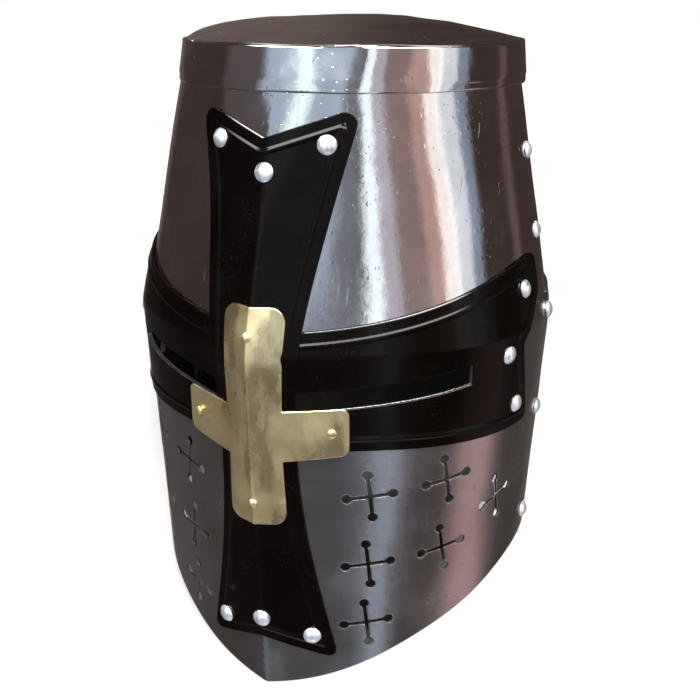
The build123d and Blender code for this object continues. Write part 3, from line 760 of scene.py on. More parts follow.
def brass():
    """Brass, polished in streaks, elsewhere dulled and faintly stained."""
    f = Finish("brass", Metallic=0.95)
    place = f.place()
    patch = f.noise(place, 60.0, 6.0, 0.62)
    shine = f.span(f.noise(f.place((1.0, 1.0, 0.35)), 60.0, 4.0, 0.6), 0.38, 0.66)
    stain = f.span(f.noise(place, 34.0, 8.0, 0.65), 0.46, 0.80)
    base = f.tones(patch, 0.25, 0.78, (0.72, 0.56, 0.29), (0.93, 0.78, 0.45))
    f.feed("Base Color", f.blend(f.maths("MULTIPLY", stain, 0.35), base, rgb(0.46, 0.31, 0.16)))
    rough = f.maths("ADD", f.span(shine, 0.0, 1.0, 0.34, 0.17), f.maths("MULTIPLY", stain, 0.08))
    f.feed("Roughness", f.maths("ADD", rough, f.span(patch, 0.35, 0.7, 0.0, 0.05)))
    normal = f.bump(f.noise(f.place((1.0, 1.0, 0.45)), 95.0, 4.0, 0.5), 0.0008, 0.55)
    normal = f.bump(f.noise(place, 900.0, 3.0), 0.00002, 0.6, normal)
    f.feed("Normal", f.bump(scratches(f, place, 1400.0, 0.73), -0.00006, 0.5, normal))
    return f.material


def bright_rivet():
    """Nickelled rivets with a hammered, slightly frosted head."""
    f = Finish("bright_rivet", Metallic=0.86)
    place = f.place()
    patch = f.noise(place, 260.0, 4.0)
    f.feed("Base Color", f.tones(patch, 0.3, 0.7, (0.76, 0.80, 0.84), (0.90, 0.93, 0.96)))
    f.feed("Roughness", f.span(patch, 0.3, 0.7, 0.28, 0.42))
    normal = f.bump(f.cells(place, 420.0, "SMOOTH_F1"), 0.0006, 0.22)
    f.feed("Normal", f.bump(f.noise(place, 1500.0, 3.0), 0.00004, 0.6, normal))
    return f.material


def buckle_steel():
    """Buckle and prong: steel dulled by handling."""
    f = Finish("buckle_steel", Metallic=1.0)
    place = f.place()
    patch = f.noise(place, 150.0, 5.0)
    f.feed("Base Color", f.tones(patch, 0.3, 0.7, (0.42, 0.38, 0.33), (0.60, 0.57, 0.52)))
    f.feed("Roughness", f.span(patch, 0.3, 0.7, 0.24, 0.45))
    f.feed("Normal", f.bump(f.noise(place, 900.0, 3.0), 0.00006, 0.6))
    return f.material


def leather():
    """Vegetable tanned leather with grain, creases and darker handled areas."""
    f = Finish("leather", Specular_IOR_Level=0.4)
    place = f.place()
    grain = f.cells(place, 1100.0, "SMOOTH_F1")
    cloud = f.noise(place, 26.0, 6.0, 0.6)
    base = f.tones(cloud, 0.3, 0.7, (0.020, 0.0095, 0.0055), (0.042, 0.020, 0.010))
    f.feed("Base Color", f.blend(f.span(grain, 0.35, 0.1, 0.0, 0.6), base, rgb(0.012, 0.006, 0.004)))
    f.feed("Roughness", f.span(cloud, 0.3, 0.7, 0.42, 0.62))
    normal = f.bump(grain, 0.00025, 0.6)
    f.feed("Normal", f.bump(f.noise(place, 160.0, 5.0, 0.6), 0.0004, 0.4, normal))
    return f.material


def waxed_fibre(name, stretch, scale, detail, dark, light, rough, depth, strength):
    """Cord or thread: fine fibres, drawn out along the axes that stretch leaves short."""
    f = Finish(name)
    fibre = f.noise(f.place(stretch), scale, detail)
    f.feed("Base Color", f.tones(fibre, 0.3, 0.7, dark, light))
    f.feed("Roughness", f.span(f.noise(f.place(), 300.0, 3.0), 0.3, 0.7, *rough))
    f.feed("Normal", f.bump(fibre, depth, strength))
    return f.material


def waxed_cord():
    dark, light = (0.16, 0.10, 0.055), (0.34, 0.24, 0.14)
    return waxed_fibre("waxed_cord", (1.0, 1.0, 4.0), 900.0, 5.0, dark, light, (0.6, 0.8), 0.0002, 0.7)


def waxed_thread():
    dark, light = (0.24, 0.17, 0.10), (0.42, 0.33, 0.21)
    return waxed_fibre("waxed_thread", (4.0, 1.0, 4.0), 1200.0, 3.0, dark, light, (0.55, 0.75), 0.0001, 0.6)


# INSIDE_AND_SHADE is near black: blackened steel inside the plates, and painted shade there and on the hole
# walls.
POLISHED, SATIN, INSIDE_AND_SHADE = polished_steel(), satin_steel(), blackened_inside_and_painted_shade()
LACQUER, BRASS, NICKEL = black_lacquer(), brass(), bright_rivet()
BUCKLE, LEATHER_FINISH, CORD, THREAD_FINISH = buckle_steel(), leather(), waxed_cord(), waxed_thread()
FINISH_OF = {
    "polished_steel": POLISHED,
    "satin_steel": SATIN,
    "black_lacquer": LACQUER,
    "brass": BRASS,
    "bright_rivet": NICKEL,
    "leather": LEATHER_FINISH,
    "cord": CORD,
    "buckle_steel": BUCKLE,
}


SLOT_OF = {part["node"]: part["material_slot"] for part in frame["record"]["subparts"]}


def placed(piece, node, body):
    """A rebuilt piece takes its CAD node's place: it rides the body, and the node is hidden."""
    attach(piece, body)
    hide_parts(node)


# ------------------------------------------------------------------------- steel plates
STEP, FINE_STEP = 1.8, 1.2  # between points along a plate's edge, and along a smaller outline
CORNER = 1.0  # radius of a plate's corners


def flush(z):
    """Offset of the face and neck plates, which lie on the form itself."""
    return z * 0


def recessed(z):
    """Offset of the skull plates, which the cap and the face lap."""
    return z * 0 - PITCH


def level_run(sheet, z, turn_from, turn_to):
    return sheet.flat(np.linspace(turn_from, turn_to, 200), np.full(200, z))


def seam_run(sheet, y, z_from, z_to, hand):
    z = np.linspace(z_from, z_to, 80)
    return sheet.flat(hand * turn_where(1, y, z), z)


def upper_front_plate():
    low, high = WAIST_LAP_LOW, SKULL_TOP
    ends = [float(turn_where(1, SEAM_BACK_EDGE, z)) for z in (low, high)]
    runs = [
        level_run(FRONT, low, -ends[0], ends[0]),
        seam_run(FRONT, SEAM_BACK_EDGE, low, high, 1),
        level_run(FRONT, high, ends[1], -ends[1]),
        seam_run(FRONT, SEAM_BACK_EDGE, high, low, -1),
    ]
    loop = outline(runs, [CORNER] * 4, STEP)
    return sheet_plate("skull_front", FRONT, [loop], recessed, (POLISHED, INSIDE_AND_SHADE))


def upper_back_plate():
    low, high = WAIST_LAP_LOW, SKULL_TOP
    ends = [float(turn_where(1, SEAM_FRONT_EDGE, z)) for z in (low, high)]
    runs = [
        level_run(BACK, low, ends[0], 2.0),
        level_run(BACK, low, -2.0, -ends[0]),
        seam_run(BACK, SEAM_FRONT_EDGE, low, high, -1),
        level_run(BACK, high, -ends[1], -2.0),
        level_run(BACK, high, 2.0, ends[1]),
        seam_run(BACK, SEAM_FRONT_EDGE, high, low, 1),
    ]
    loop = outline(runs, [CORNER, 0, CORNER, CORNER, 0, CORNER], STEP)
    return sheet_plate("skull_back", BACK, [loop], recessed, (POLISHED, INSIDE_AND_SHADE), tuck=PITCH)


# Side view of the hem, as (y, z): from ahead of the tip back to where it runs level.
HEM_POINTS = [(-118, -14), (-101.5, 0.2), (-92, 8.6), (-75.2, 23.3), (-52.5, 37), (-26.9, 47.3)]
HEM = spline(*HEM_POINTS, (0, HEM_HEIGHT))
FRONT_HEM = np.concatenate([HEM, line((0.2, HEM_HEIGHT), (SEAM_BACK_EDGE, HEM_HEIGHT))])
NECK_CORNER_HEIGHT = 50.4  # where the neck plate's front edges are placed from
FACE_EDGE_DROP = 0.12  # the face's edges are less rounded than the others

SIGHT_MIDDLE = [(0.1, 149.6), (0.24, 151.6), (0.42, 154.4), (0.622, 158.6)]
SIGHT_HALF = 4.75
# Breath crosses of the right side: a column's turn, its heights and its tilt in degrees.
BREATHS = [(0.319, (103.2, 67.9, 36.0), 5.5), (0.565, (107.9, 71.9), 8.0), (0.785, (89.0,), 10.0)]
BREATH_SLOT, BREATH_HOLE, BREATH_SPAN = 1.8, 4.7, 21.4


def sight_loop(hand):
    """One sight: a long slot with a slightly rounded outline."""
    turns, heights = (np.array(v) for v in zip(*SIGHT_MIDDLE))
    middle = spline(*FRONT.flat(turns, heights))
    low, high = middle - [0, SIGHT_HALF], middle + [0, SIGHT_HALF]
    runs = [low, line(low[-1], high[-1]), high[::-1], line(high[0], low[0])]
    loop = outline(runs, [0.8] * 4, FINE_STEP)
    return loop if hand > 0 else mirrored(loop)


def swung(points, angle):
    """Flat points turned anticlockwise about the origin."""
    return points @ np.array([[cos(angle), sin(angle)], [-sin(angle), cos(angle)]])


def breath_loop(turn, height, tilt, hand):
    """One breath cross: four slots from a centre, each ending in a round hole."""
    half, radius, reach = BREATH_SLOT / 2, BREATH_HOLE / 2, BREATH_SPAN / 2
    mouth = np.arcsin(half / radius)
    angles = np.linspace(pi + mouth, 3 * pi - mouth, 22)
    hole = np.stack([reach + radius * np.cos(angles), radius * np.sin(angles)], -1)
    side = np.linspace(half, reach - radius * cos(mouth), 7)[:-1]
    near = np.stack([side, np.full(6, -half)], -1)
    far = near[::-1][:-1] * [1, -1]
    arm = np.concatenate([near, hole, far])
    arms = [swung(arm, quarter * pi / 2) for quarter in range(4)]
    loop = swung(np.concatenate(arms), radians(tilt)) + FRONT.flat(turn, height)
    return loop if hand > 0 else mirrored(loop)


def face_plate():
    high = WAIST_LAP_HIGH
    end = float(turn_where(1, SEAM_BACK_EDGE, high))
    hem = from_side(FRONT, FRONT_HEM, 0.0)
    runs = [
        np.concatenate([mirrored(hem)[:-1], hem]),
        seam_run(FRONT, SEAM_BACK_EDGE, HEM_HEIGHT, high, 1),
        level_run(FRONT, high, end, -end),
        seam_run(FRONT, SEAM_BACK_EDGE, high, HEM_HEIGHT, -1),
    ]
    loops = [outline(runs, [CORNER] * 4, STEP)]
    for hand in (1, -1):
        loops += [breath_loop(turn, z, tilt, hand) for turn, heights, tilt in BREATHS for z in heights]
    loops += [sight_loop(hand) for hand in (1, -1)]
    return sheet_plate("face", FRONT, loops, flush, (SATIN, INSIDE_AND_SHADE), drop=FACE_EDGE_DROP)


def neck_plate():
    high, step_height = WAIST_LAP_HIGH, WAIST_LAP_LOW - 1
    front_low = float(turn_where(1, SEAM_FRONT_EDGE, NECK_CORNER_HEIGHT))
    corner = float(turn_where(1, CORNER_RELIEF, high))
    step_y = np.linspace(SEAM_FRONT_EDGE, CORNER_RELIEF, 20)
    right_step = BACK.flat(turn_where(1, step_y, step_height), step_height)
    runs = [
        level_run(BACK, HEM_HEIGHT, front_low, 2.0),
        level_run(BACK, HEM_HEIGHT, -2.0, -front_low),
        seam_run(BACK, SEAM_FRONT_EDGE, HEM_HEIGHT, step_height, -1),
        mirrored(right_step)[::-1],
        seam_run(BACK, CORNER_RELIEF, step_height, high, -1),
        level_run(BACK, high, -corner, -2.0),
        level_run(BACK, high, 2.0, corner),
        seam_run(BACK, CORNER_RELIEF, high, step_height, 1),
        right_step[::-1],
        seam_run(BACK, SEAM_FRONT_EDGE, step_height, HEM_HEIGHT, 1),
    ]
    radii = [CORNER, 0, CORNER, CORNER, 0, CORNER, 0, CORNER, 0, CORNER]
    loop = outline(runs, radii, STEP)
    return sheet_plate("neck", BACK, [loop], flush, (SATIN, INSIDE_AND_SHADE), tuck=PITCH)


# ------------------------------------------------------------------------ black fittings
FITTING_RIB = Rib(middle=5.9, half=1.9, height=0.62)
LAP_GAP = 0.1  # between fittings that lie on each other


def fitting(name, loops, off):
    finishes = (LACQUER, INSIDE_AND_SHADE)
    return sheet_plate(name, FRONT, loops, off, finishes, rib=FITTING_RIB, spacing=2.6)


def band_off(z):
    """Offset of the band: on the face, and down on the skull above the waist."""
    return np.interp(z, [180.0, 212.0], [PITCH, 0.3])


def eye_band():
    """Black band with both sights, ribbed along its outline, with swallow-tailed ends."""
    low_corner, notch = (-20.0, 124.6), (-33.0, 166.0)
    shoulder, top_corner = (-11.0, 188.0), (-11.0, 205.0)
    top = spline(top_corner, (-38, 201.6), (-62, 195.2), (-82, 188.4), (-100, 182.6), (-126, 179.6))
    drawn = [line((-126.0, 127.6), low_corner), line(low_corner, notch), line(notch, shoulder)]
    drawn += [line(shoulder, top_corner), top]
    right = [from_side(FRONT, run, PITCH) for run in drawn]
    left = [mirrored(run) for run in right[::-1]]
    runs = [np.concatenate([left[-1][:-1], right[0]]), *right[1:4]]
    runs += [np.concatenate([right[4], left[0][1:]]), *left[1:4]]
    loop = outline(runs, [3.5, 3.5, 3.0, 8.0, 6.0, 6.0, 8.0, 3.0], STEP)
    loops = [loop] + [sight_loop(hand) for hand in (1, -1)]
    return fitting("sight_band", loops, band_off)


def bar_off(z):
    """Offset of the bar: on the face at its foot, over the band, and down to the skull."""
    over_band = PITCH + LAP_GAP + SHEET
    heights = [10.0, 118.0, 186.0, 280.0]
    return np.interp(z, heights, [LAP_GAP + SHEET, over_band, over_band, 0.0])


def upright_bar():
    """Black upright bar: waisted, ribbed, with a swallow tail at each end."""
    top_right, top_left = (38.0, 275.5), (-37.6, 275.0)
    bottom_right, bottom_left = (34.4, 17.0), (-32.6, 17.6)
    top_notch, bottom_notch = (-2.5, 261.5), (-0.5, 28.0)
    right_waist = [(25.4, 61.6), (20.4, 95.6), (18.4, 128), (20.7, 180), (29.6, 234.6)]
    left_waist = [(-29.5, 232), (-25.2, 183), (-19.4, 128), (-20.2, 95.6), (-24.9, 57)]
    right = spline(bottom_right, *right_waist, top_right)
    left = spline(top_left, *left_waist, bottom_left)
    drawn = [right, line(top_right, top_notch), line(top_notch, top_left)]
    drawn += [left, line(bottom_left, bottom_notch), line(bottom_notch, bottom_right)]
    runs = [from_front(run, bar_off) for run in drawn]
    loop = outline(runs, [3.5, 5.5, 1.2, 5.5, 3.5, 1.2], STEP)
    return fitting("bar", [loop], bar_off)


CROSS_OUT, CROSS_TUCK = 3.62, 8.0
CROSS_RIDGE = Rib(middle=0.0, half=0.9, height=0.34)
WAIST = LEVELS[1].height
WAIST_BLEND, WAIST_BEND = 10.0, 0.305  # how far the cross rounds the waist, and the bend there


def cross_off(z):
    """Offset of the cross, eased over the bend of the waist."""
    near = np.clip(WAIST_BLEND - np.abs(z - WAIST), 0, None)
    return CROSS_OUT - WAIST_BEND / (4 * WAIST_BLEND) * near**2


def brass_cross():
    """Creased brass cross over the crossing of band and bar."""
    top, bottom, half, low_half, arm = 193.0, 90.6, 14.8, 13.2, 39.9
    right = [(half, top), (half - 1.3, 146.6), (arm, 147.8)]
    right += [(arm, 125.2), (low_half, 122.4), (low_half + 0.9, bottom)]
    corners = right + [(-x, z) for x, z in reversed(right)]
    drawn = [line(*ends) for ends in zip(corners, corners[1:] + corners[:1])]
    runs = [from_front(run, cross_off, CROSS_TUCK) for run in drawn]
    half_radii = [7.5, 0.6, 3.5, 4.5, 0.6, 6.0]
    loops = [outline(runs, half_radii + half_radii[::-1], FINE_STEP)]
    sheet = {"tuck": CROSS_TUCK, "thickness": BRASS_SHEET, "ridge": CROSS_RIDGE, "spacing": 2.0}
    return sheet_plate("cross", FRONT, loops, cross_off, (BRASS, INSIDE_AND_SHADE), **sheet)


# ------------------------------------------------------------------------------ crown cap
CapDent = namedtuple("CapDent", "across height width depth")
CAP_DENTS = [
    CapDent(-50.0, 285.0, 7.0, 0.5),
    CapDent(-44.0, 281.0, 4.0, 0.6),
    CapDent(28.0, 297.0, 9.0, 0.35),
    CapDent(60.0, 283.0, 8.0, 0.4),
]
# The cap's lower edge is turned in: how much, at heights up from the edge.
LIP_HEIGHTS, LIP_INSETS = [280.0, 280.3, 281.0, 282.6, 284.6], [1.0, 0.75, 0.55, 0.45, 0.0]
CAP_CORNER, CAP_INNER_CORNER = 0.6, 0.3
RIM_MIDDLE = (RIM.back - RIM.front) / 2
RIM_STRETCH = (RIM.front + RIM.back) / (2 * RIM.side)  # how much longer the rim is than wide
LEFT_MIDDLE, LEFT_WIDTH = 0.55, 0.7  # where the dome's left starts to be fuller, as shares of the side
DOME_HOLD = 7  # the hammering ends close to the rim
ROUND = np.concatenate([np.linspace(0, 2, 181)[:-1], np.linspace(-2, 0, 181)[:-1]])  # turns all round


def ring_faces(count, around, closed):
    """Faces between rings of points; ends that aren't closed on each other get a face each."""
    rings = np.arange(count * around).reshape(count, around)
    grid = np.concatenate([rings, rings[:, :1]], 1)
    grid = np.concatenate([grid, grid[:1]]) if closed else grid
    faces = grid_faces(grid).tolist()
    return faces if closed else faces + [rings[0][::-1].tolist(), rings[-1].tolist()]


def dome_height(x, y, drop):
    """Height of the shallow dome over a spot, on a ball drawn out from front to back."""
    radius = (RIM.side**2 + DOME_RISE**2) / (2 * DOME_RISE)
    behind = (y - RIM_MIDDLE) / RIM_STRETCH
    ball = np.sqrt(radius**2 - x**2 - behind**2)
    hammered = DOME_LEFT * smooth_step(-x / RIM.side, LEFT_MIDDLE, LEFT_WIDTH) - DOME_FLAT
    away = (x / RIM.side) ** 2 + (behind / RIM.side) ** 2
    held = 1 - np.clip(away, 0, 1) ** DOME_HOLD
    return RIM.height + DOME_RISE - radius - drop + ball + hammered * held


def cap_face(off, low, corner):
    """Rings up the cap's wall, round its corner and in over the dome, to the middle."""
    rings = []
    across = FRONT.flat(ROUND, 290.0)[:, 0]
    lip = 1.0 + 0.35 * np.sin(across / 17.0 + 1.0) + 0.25 * np.sin(across / 6.1)
    for z in np.concatenate([low, np.linspace(low[-1] + 0.8, RIM.height - corner - 0.4, 14)]):
        inset = np.interp(z, LIP_HEIGHTS, LIP_INSETS) if off == 0 else 0.0
        points = on_form(ROUND, z, off - inset * lip)
        depth, _ = dents(on_form(ROUND, z))
        for dent in CAP_DENTS:
            away = ((across - dent.across) ** 2 + (z - dent.height) ** 2) / dent.width**2
            depth = depth + dent.depth * np.exp(-away)
        rings.append(points - unit(points * [1, 1, 0]) * depth[:, None])
    edge = on_form(ROUND, RIM.height, off)
    sag = 0.35 + 0.2 * np.sin(across / 21.0 + 2.4) + 0.15 * np.sin(across / 9.0)
    middle = np.array([0.0, RIM_MIDDLE, 0.0])
    for share in (0.9985, 0.9965, 0.993, 0.989, *np.linspace(0.975, 0.0, 34)):
        points = middle + (edge - middle) * share
        bulge, _ = dents(points)
        roll = corner * np.clip((share - 0.989) / 0.011, 0, 1) ** 2
        sagging = sag * np.clip((share - 0.93) / 0.06, 0, 1)
        points[:, 2] = dome_height(points[:, 0], points[:, 1], -off) - bulge * 1.2 - roll - sagging
        rings.append(points)
    return rings


def crown_cap():
    """Flanged cap of one sheet, with a hammered dome and a turned-in lower edge."""
    outer = cap_face(0.0, [280.0, 280.15, 280.4, 281.0, 281.8, 282.6, 283.4, 284.2], CAP_CORNER)
    inner = cap_face(-SHEET, [280.0, 281.0], CAP_INNER_CORNER)
    rings = outer + inner[::-1]
    faces = ring_faces(len(rings), len(ROUND), closed=True)
    which = np.ones(len(faces), np.int32)
    which[: len(outer) * len(ROUND)] = 0
    piece = new_object("crown", to_frame(np.concatenate(rings)), faces, (POLISHED, INSIDE_AND_SHADE), which)
    weld(piece, 1e-5)
    return piece


def weld(piece, distance):
    """Join points that coincide and drop the faces that vanish."""
    mesh = bmesh.new()
    mesh.from_mesh(piece.data)
    bmesh.ops.remove_doubles(mesh, verts=mesh.verts, dist=distance)
    bmesh.ops.dissolve_degenerate(mesh, edges=mesh.edges, dist=distance / 10)
    mesh.to_mesh(piece.data)
    mesh.free()


# ------------------------------------------------------------------------ leather and laces
LINER_LOW, LINER_HIGH, LINER_OUT = 198.0, 240.0, -4.2
TAB_COUNT, TAB_GAP, TAB_TOP = 8, 4.0, 266.0
TAB_ROOT = 225.0  # the tabs are sewn inside the band from here up
LACE_RADIUS, LACE_RING = 1.5, 29.0
RING_MIDDLE = 2.0  # the lace's ring is centred this far behind the axis
TAB_REACH_FRONT, TAB_REACH_BACK = 24.0, 28.0
TAB_BEND = 0.2  # share of a tab that goes up inside the band
LACE_PLIES, LACE_TWISTS, LACE_SIDES = 2, 34, 8
STITCH, STITCH_GAP, THREAD = 2.9, 1.3, 0.42
STITCH_RINGS = ((0.0, 0.25), (0.12, 0.8), (0.5, 1.0), (0.88, 0.8), (1.0, 0.25))  # share along, fullness
THREAD_SIDES = 6

LEATHER_ROUND, LEATHER_DROP = 0.9, 0.6  # how wide and how deep a strap's edges are rounded
CREASE = Rib(middle=2.6, half=0.8, height=-0.3)
RIVET_HOLE, PUNCHED_HOLE = 2.1, 1.4
STRAP_HALF = 10.0
EAR_X, EAR_TURN_HEIGHT, EAR_RIVET, EAR_TOP = 94.0, 108.0, 121.0, 132.0
STRAP_BOTTOM = 30.6
LEG_ANGLE = radians(28)
BUCKLE_REACH = 42.0
TAIL_LIFT = 5.0
STRAP_Y = float(on_form(1.02, EAR_RIVET)[1])


class Gathered:
    """Points and faces of many small bodies, made into one mesh."""

    def __init__(self):
        self.points, self.faces, self.which = [], [], []

    def add(self, points, faces, which=0):
        start = sum(len(p) for p in self.points)
        self.points.append(np.asarray(points, float))
        self.faces += [[start + i for i in face] for face in faces]
        self.which += [which] * len(faces)

    def made(self, name, *finishes):
        points = to_frame(np.concatenate(self.points))
        return new_object(name, points, self.faces, finishes, np.array(self.which, np.int32))


def stitch(gathered, start, end, out, which):
    """One stitch of thread on a surface, from start to end."""
    along = direction(start, end)
    across = np.cross(out, along)
    angles = np.linspace(0, 2 * pi, THREAD_SIDES, endpoint=False)[:, None]
    section = across * np.cos(angles) + out * np.sin(angles)
    rings = [start + (end - start) * share + THREAD * full * section for share, full in STITCH_RINGS]
    gathered.add(np.concatenate(rings), ring_faces(len(rings), THREAD_SIDES, closed=False), which)


def stitched(gathered, route, which=1):
    """A row of stitches along a route: a function from a distance to a point and an outward way."""
    spot = 0.0
    while True:
        ends = route(spot), route(spot + STITCH)
        if ends[0] is None or ends[1] is None:
            return
        stitch(gathered, ends[0][0], ends[1][0], ends[0][1], which)
        spot += STITCH + STITCH_GAP


def liner_ring(z, off):
    """Points round the form at a height and offset, evenly by turn, with outward ways."""
    points = on_form(ROUND, z, off)
    along = np.roll(points, -1, axis=0) - np.roll(points, 1, axis=0)
    return points, unit(np.stack([along[:, 1], -along[:, 0], along[:, 2] * 0], -1))


def ring_route(z, off):
    """Route once round the inside of the head band."""
    points, out = (np.append(rows, rows[:1], 0) for rows in liner_ring(z, off))
    along = distances(points)

    def route(spot):
        if spot > along[-1]:
            return None
        return along_run(spot, along, points), -along_run(spot, along, out)

    return route


def head_band():
    """Sweat band of leather, creased and stitched along both edges."""
    round_over, groove_at, groove = 0.9, 3.4, 0.35
    rise = [(0.0, round_over), (0.25, 0.35), (round_over, 0.0), (2.4, 0.0), (groove_at, groove), (4.4, 0.0)]
    half = (LINER_HIGH - LINER_LOW) / 2
    face = rise + [(half, 0.0)] + [(2 * half - up, back) for up, back in reversed(rise)]
    profile = [(LINER_LOW + up, LINER_OUT - back) for up, back in face]
    profile += [(LINER_LOW + up, LINER_OUT - LEATHER + back) for up, back in reversed(face)]
    gathered = Gathered()
    rings = [liner_ring(z, off)[0] for z, off in profile]
    gathered.add(np.concatenate(rings), ring_faces(len(rings), len(rings[0]), closed=True))
    for z in (LINER_LOW + groove_at, LINER_HIGH - groove_at):
        stitched(gathered, ring_route(z, LINER_OUT - LEATHER + groove - 0.1))
    return gathered.made("sweat_band", LEATHER_FINISH, THREAD_FINISH)


def by_bearing(z, off):
    """Turn on the form for any bearing round the axis, 0 at +X and 90 degrees at the back."""
    turn = np.linspace(-2, 2, 1601)
    points = on_form(turn, z, off)
    bearing = np.unwrap(np.arctan2(points[:, 1], points[:, 0]))
    return lambda wanted: np.interp((wanted - bearing[0]) % (2 * pi) + bearing[0], bearing, turn)


def tab_point(bearing, share, turn_at):
    """Middle of the leather of a tab: up inside the band, over the bend and in to the lace."""
    turn = turn_at(bearing)
    inside = LINER_OUT - 1.5 * LEATHER - 0.1
    root, bend = on_form(turn, TAB_ROOT, inside), on_form(turn, LINER_HIGH + 0.5, inside)
    way = np.stack([np.cos(bearing), np.sin(bearing), bearing * 0], -1)
    reach = np.where(way[..., 1:2] > 0, TAB_REACH_BACK, TAB_REACH_FRONT)
    top = way * reach + [0.0, RING_MIDDLE, TAB_TOP - LEATHER / 2]
    up = np.clip(share / TAB_BEND, 0, 1)[..., None]
    over = np.clip((share - TAB_BEND) / (1 - TAB_BEND), 0, 1)[..., None]
    crown = np.array([0.0, 0.0, 2.5]) * np.sin(over * pi)
    return root + (bend - root) * up + (top - bend) * over + crown


def tab_ring(middle, share, turn_at, end):
    """Ring of points round a tab's section, at a share of its length; end is how full it is."""
    around = np.linspace(0, 2 * pi, 28, endpoint=False)
    flat = np.sign(np.cos(around)) * np.abs(np.cos(around)) ** 0.3
    thick = np.sign(np.sin(around)) * np.abs(np.sin(around)) ** 0.5
    spine = tab_point(np.array(middle), np.array(share), turn_at)
    half = pi / TAB_COUNT - 0.5 * TAB_GAP / hypot(spine[0], spine[1])
    near_tip, near_root = np.clip((share - 0.9) / 0.1, 0, 1), np.clip((0.02 - share) / 0.02, 0, 1)
    half *= sqrt(max(0.02, 1 - 0.75 * near_tip**2.4)) * sqrt(max(0.3, 1 - 0.3 * near_root))
    bearing = middle + half * flat
    share_row = np.full(len(around), share)
    row = tab_point(bearing, share_row, turn_at)
    ahead, behind = (tab_point(bearing, share_row + d, turn_at) for d in (0.02, -0.02))
    left, right = (tab_point(bearing + d, share_row, turn_at) for d in (0.01, -0.01))
    out = unit(np.cross(left - right, ahead - behind))
    return row - out * (thick * end * LEATHER / 2)[:, None]


def crown_tabs():
    """Eight leather tabs, sewn inside the band, that meet over the head."""
    gathered = Gathered()
    turn_at = by_bearing(LINER_HIGH, LINER_OUT)
    shares = np.concatenate([[-0.004, 0.0], np.linspace(0.012, 0.985, 34), [0.995, 1.0]])
    ends = np.where((shares == shares[0]) | (shares == shares[-1]), 0.25, 1.0)
    for i in range(TAB_COUNT):
        middle = 2 * pi * i / TAB_COUNT
        rings = [tab_ring(middle, share, turn_at, end) for share, end in zip(shares, ends)]
        gathered.add(np.concatenate(rings), ring_faces(len(rings), len(rings[0]), closed=False))
    for up in (4.0, 9.0):
        stitched(gathered, ring_route(TAB_ROOT + up, LINER_OUT - 2 * LEATHER - 0.2))
    return gathered.made("crown_tab_set", LEATHER_FINISH, THREAD_FINISH)


def lace_middle(bearing):
    """The lace's line: over the middle of each tab, and under the gaps between them."""
    weave = 0.4 + 1.9 * np.cos(TAB_COUNT * bearing)
    height = TAB_TOP - LEATHER / 2 + weave
    return np.stack([LACE_RING * np.cos(bearing), RING_MIDDLE + LACE_RING * np.sin(bearing), height], -1)


def tab_lace():
    """Twisted lace of two plies, drawn round through the tabs."""
    gathered = Gathered()
    bearing = np.linspace(0, 2 * pi, 720, endpoint=False)
    angles = np.linspace(0, 2 * pi, LACE_SIDES, endpoint=False)
    middle = lace_middle(bearing)
    along = unit(lace_middle(bearing + 0.005) - lace_middle(bearing - 0.005))
    out = np.stack([np.cos(bearing), np.sin(bearing), bearing * 0], -1)
    up = np.cross(along, out)
    for ply in range(LACE_PLIES):
        twist = (LACE_TWISTS * bearing + 2 * pi * ply / LACE_PLIES)[:, None]
        centre = middle + 0.5 * LACE_RADIUS * (out * np.cos(twist) + up * np.sin(twist))
        sections = [out * np.cos(angle + twist) + up * np.sin(angle + twist) for angle in angles]
        rings = np.stack([centre + 0.56 * LACE_RADIUS * section for section in sections], 1)
        gathered.add(rings.reshape(-1, 3), ring_faces(len(bearing), LACE_SIDES, closed=True))
    return gathered.made("crown_lace", CORD)


def leg_point(down, out):
    """Point (x, z) on the strap's left leg, from the buckle's bar."""
    way_down = np.array([sin(LEG_ANGLE), -cos(LEG_ANGLE)])
    way_out = np.array([-cos(LEG_ANGLE), -sin(LEG_ANGLE)])
    return np.array([-EAR_X, EAR_TURN_HEIGHT]) + way_down * (BUCKLE_REACH + down) + way_out * out


def filleted(corners, radii):
    """Straight runs with round corners, as points close together."""
    points = [np.array(corners[0], float)]
    for before, spot, after, radius in zip(corners, corners[1:], corners[2:], radii):
        before, spot, after = (np.array(v, float) for v in (before, spot, after))
        come, leave = direction(before, spot), direction(spot, after)
        bend = corner_bend(come, leave)
        inward = np.array([-come[1], come[0]]) * (1 if bend > 0 else -1)
        middle = spot - come * radius * tan(abs(bend) / 2) + inward * radius
        points += [middle + swung(-inward * radius, angle) for angle in np.linspace(0, bend, 24)]
    points.append(np.array(corners[-1], float))
    return resample(np.array(points), 0.5)


class Ribbon:
    """A strap along a path drawn in (x, z): flat spots are (distance along it, place across it)."""

    def __init__(self, path, thickness):
        self.path = path
        self.along = distances(path)
        self.length = self.along[-1]
        self.ways = np.gradient(path, self.along, axis=0)
        self.thickness = thickness

    def lay(self, flat, side, lift=0.0):
        """Points and outward ways on one face: side 1 is left of the path's way, -1 right of it."""
        at = [np.interp(flat[:, 0], self.along, v[:, i]) for v in (self.path, self.ways) for i in (0, 1)]
        size = np.hypot(at[2], at[3])
        out = np.stack([-at[3] / size, at[0] * 0, at[2] / size], -1) * side
        middle = np.stack([at[0], np.full(len(flat), STRAP_Y), at[1]], -1)
        middle[:, 1] += flat[:, 1]
        return middle + out * (self.thickness(flat[:, 0]) / 2 + lift)[:, None], out


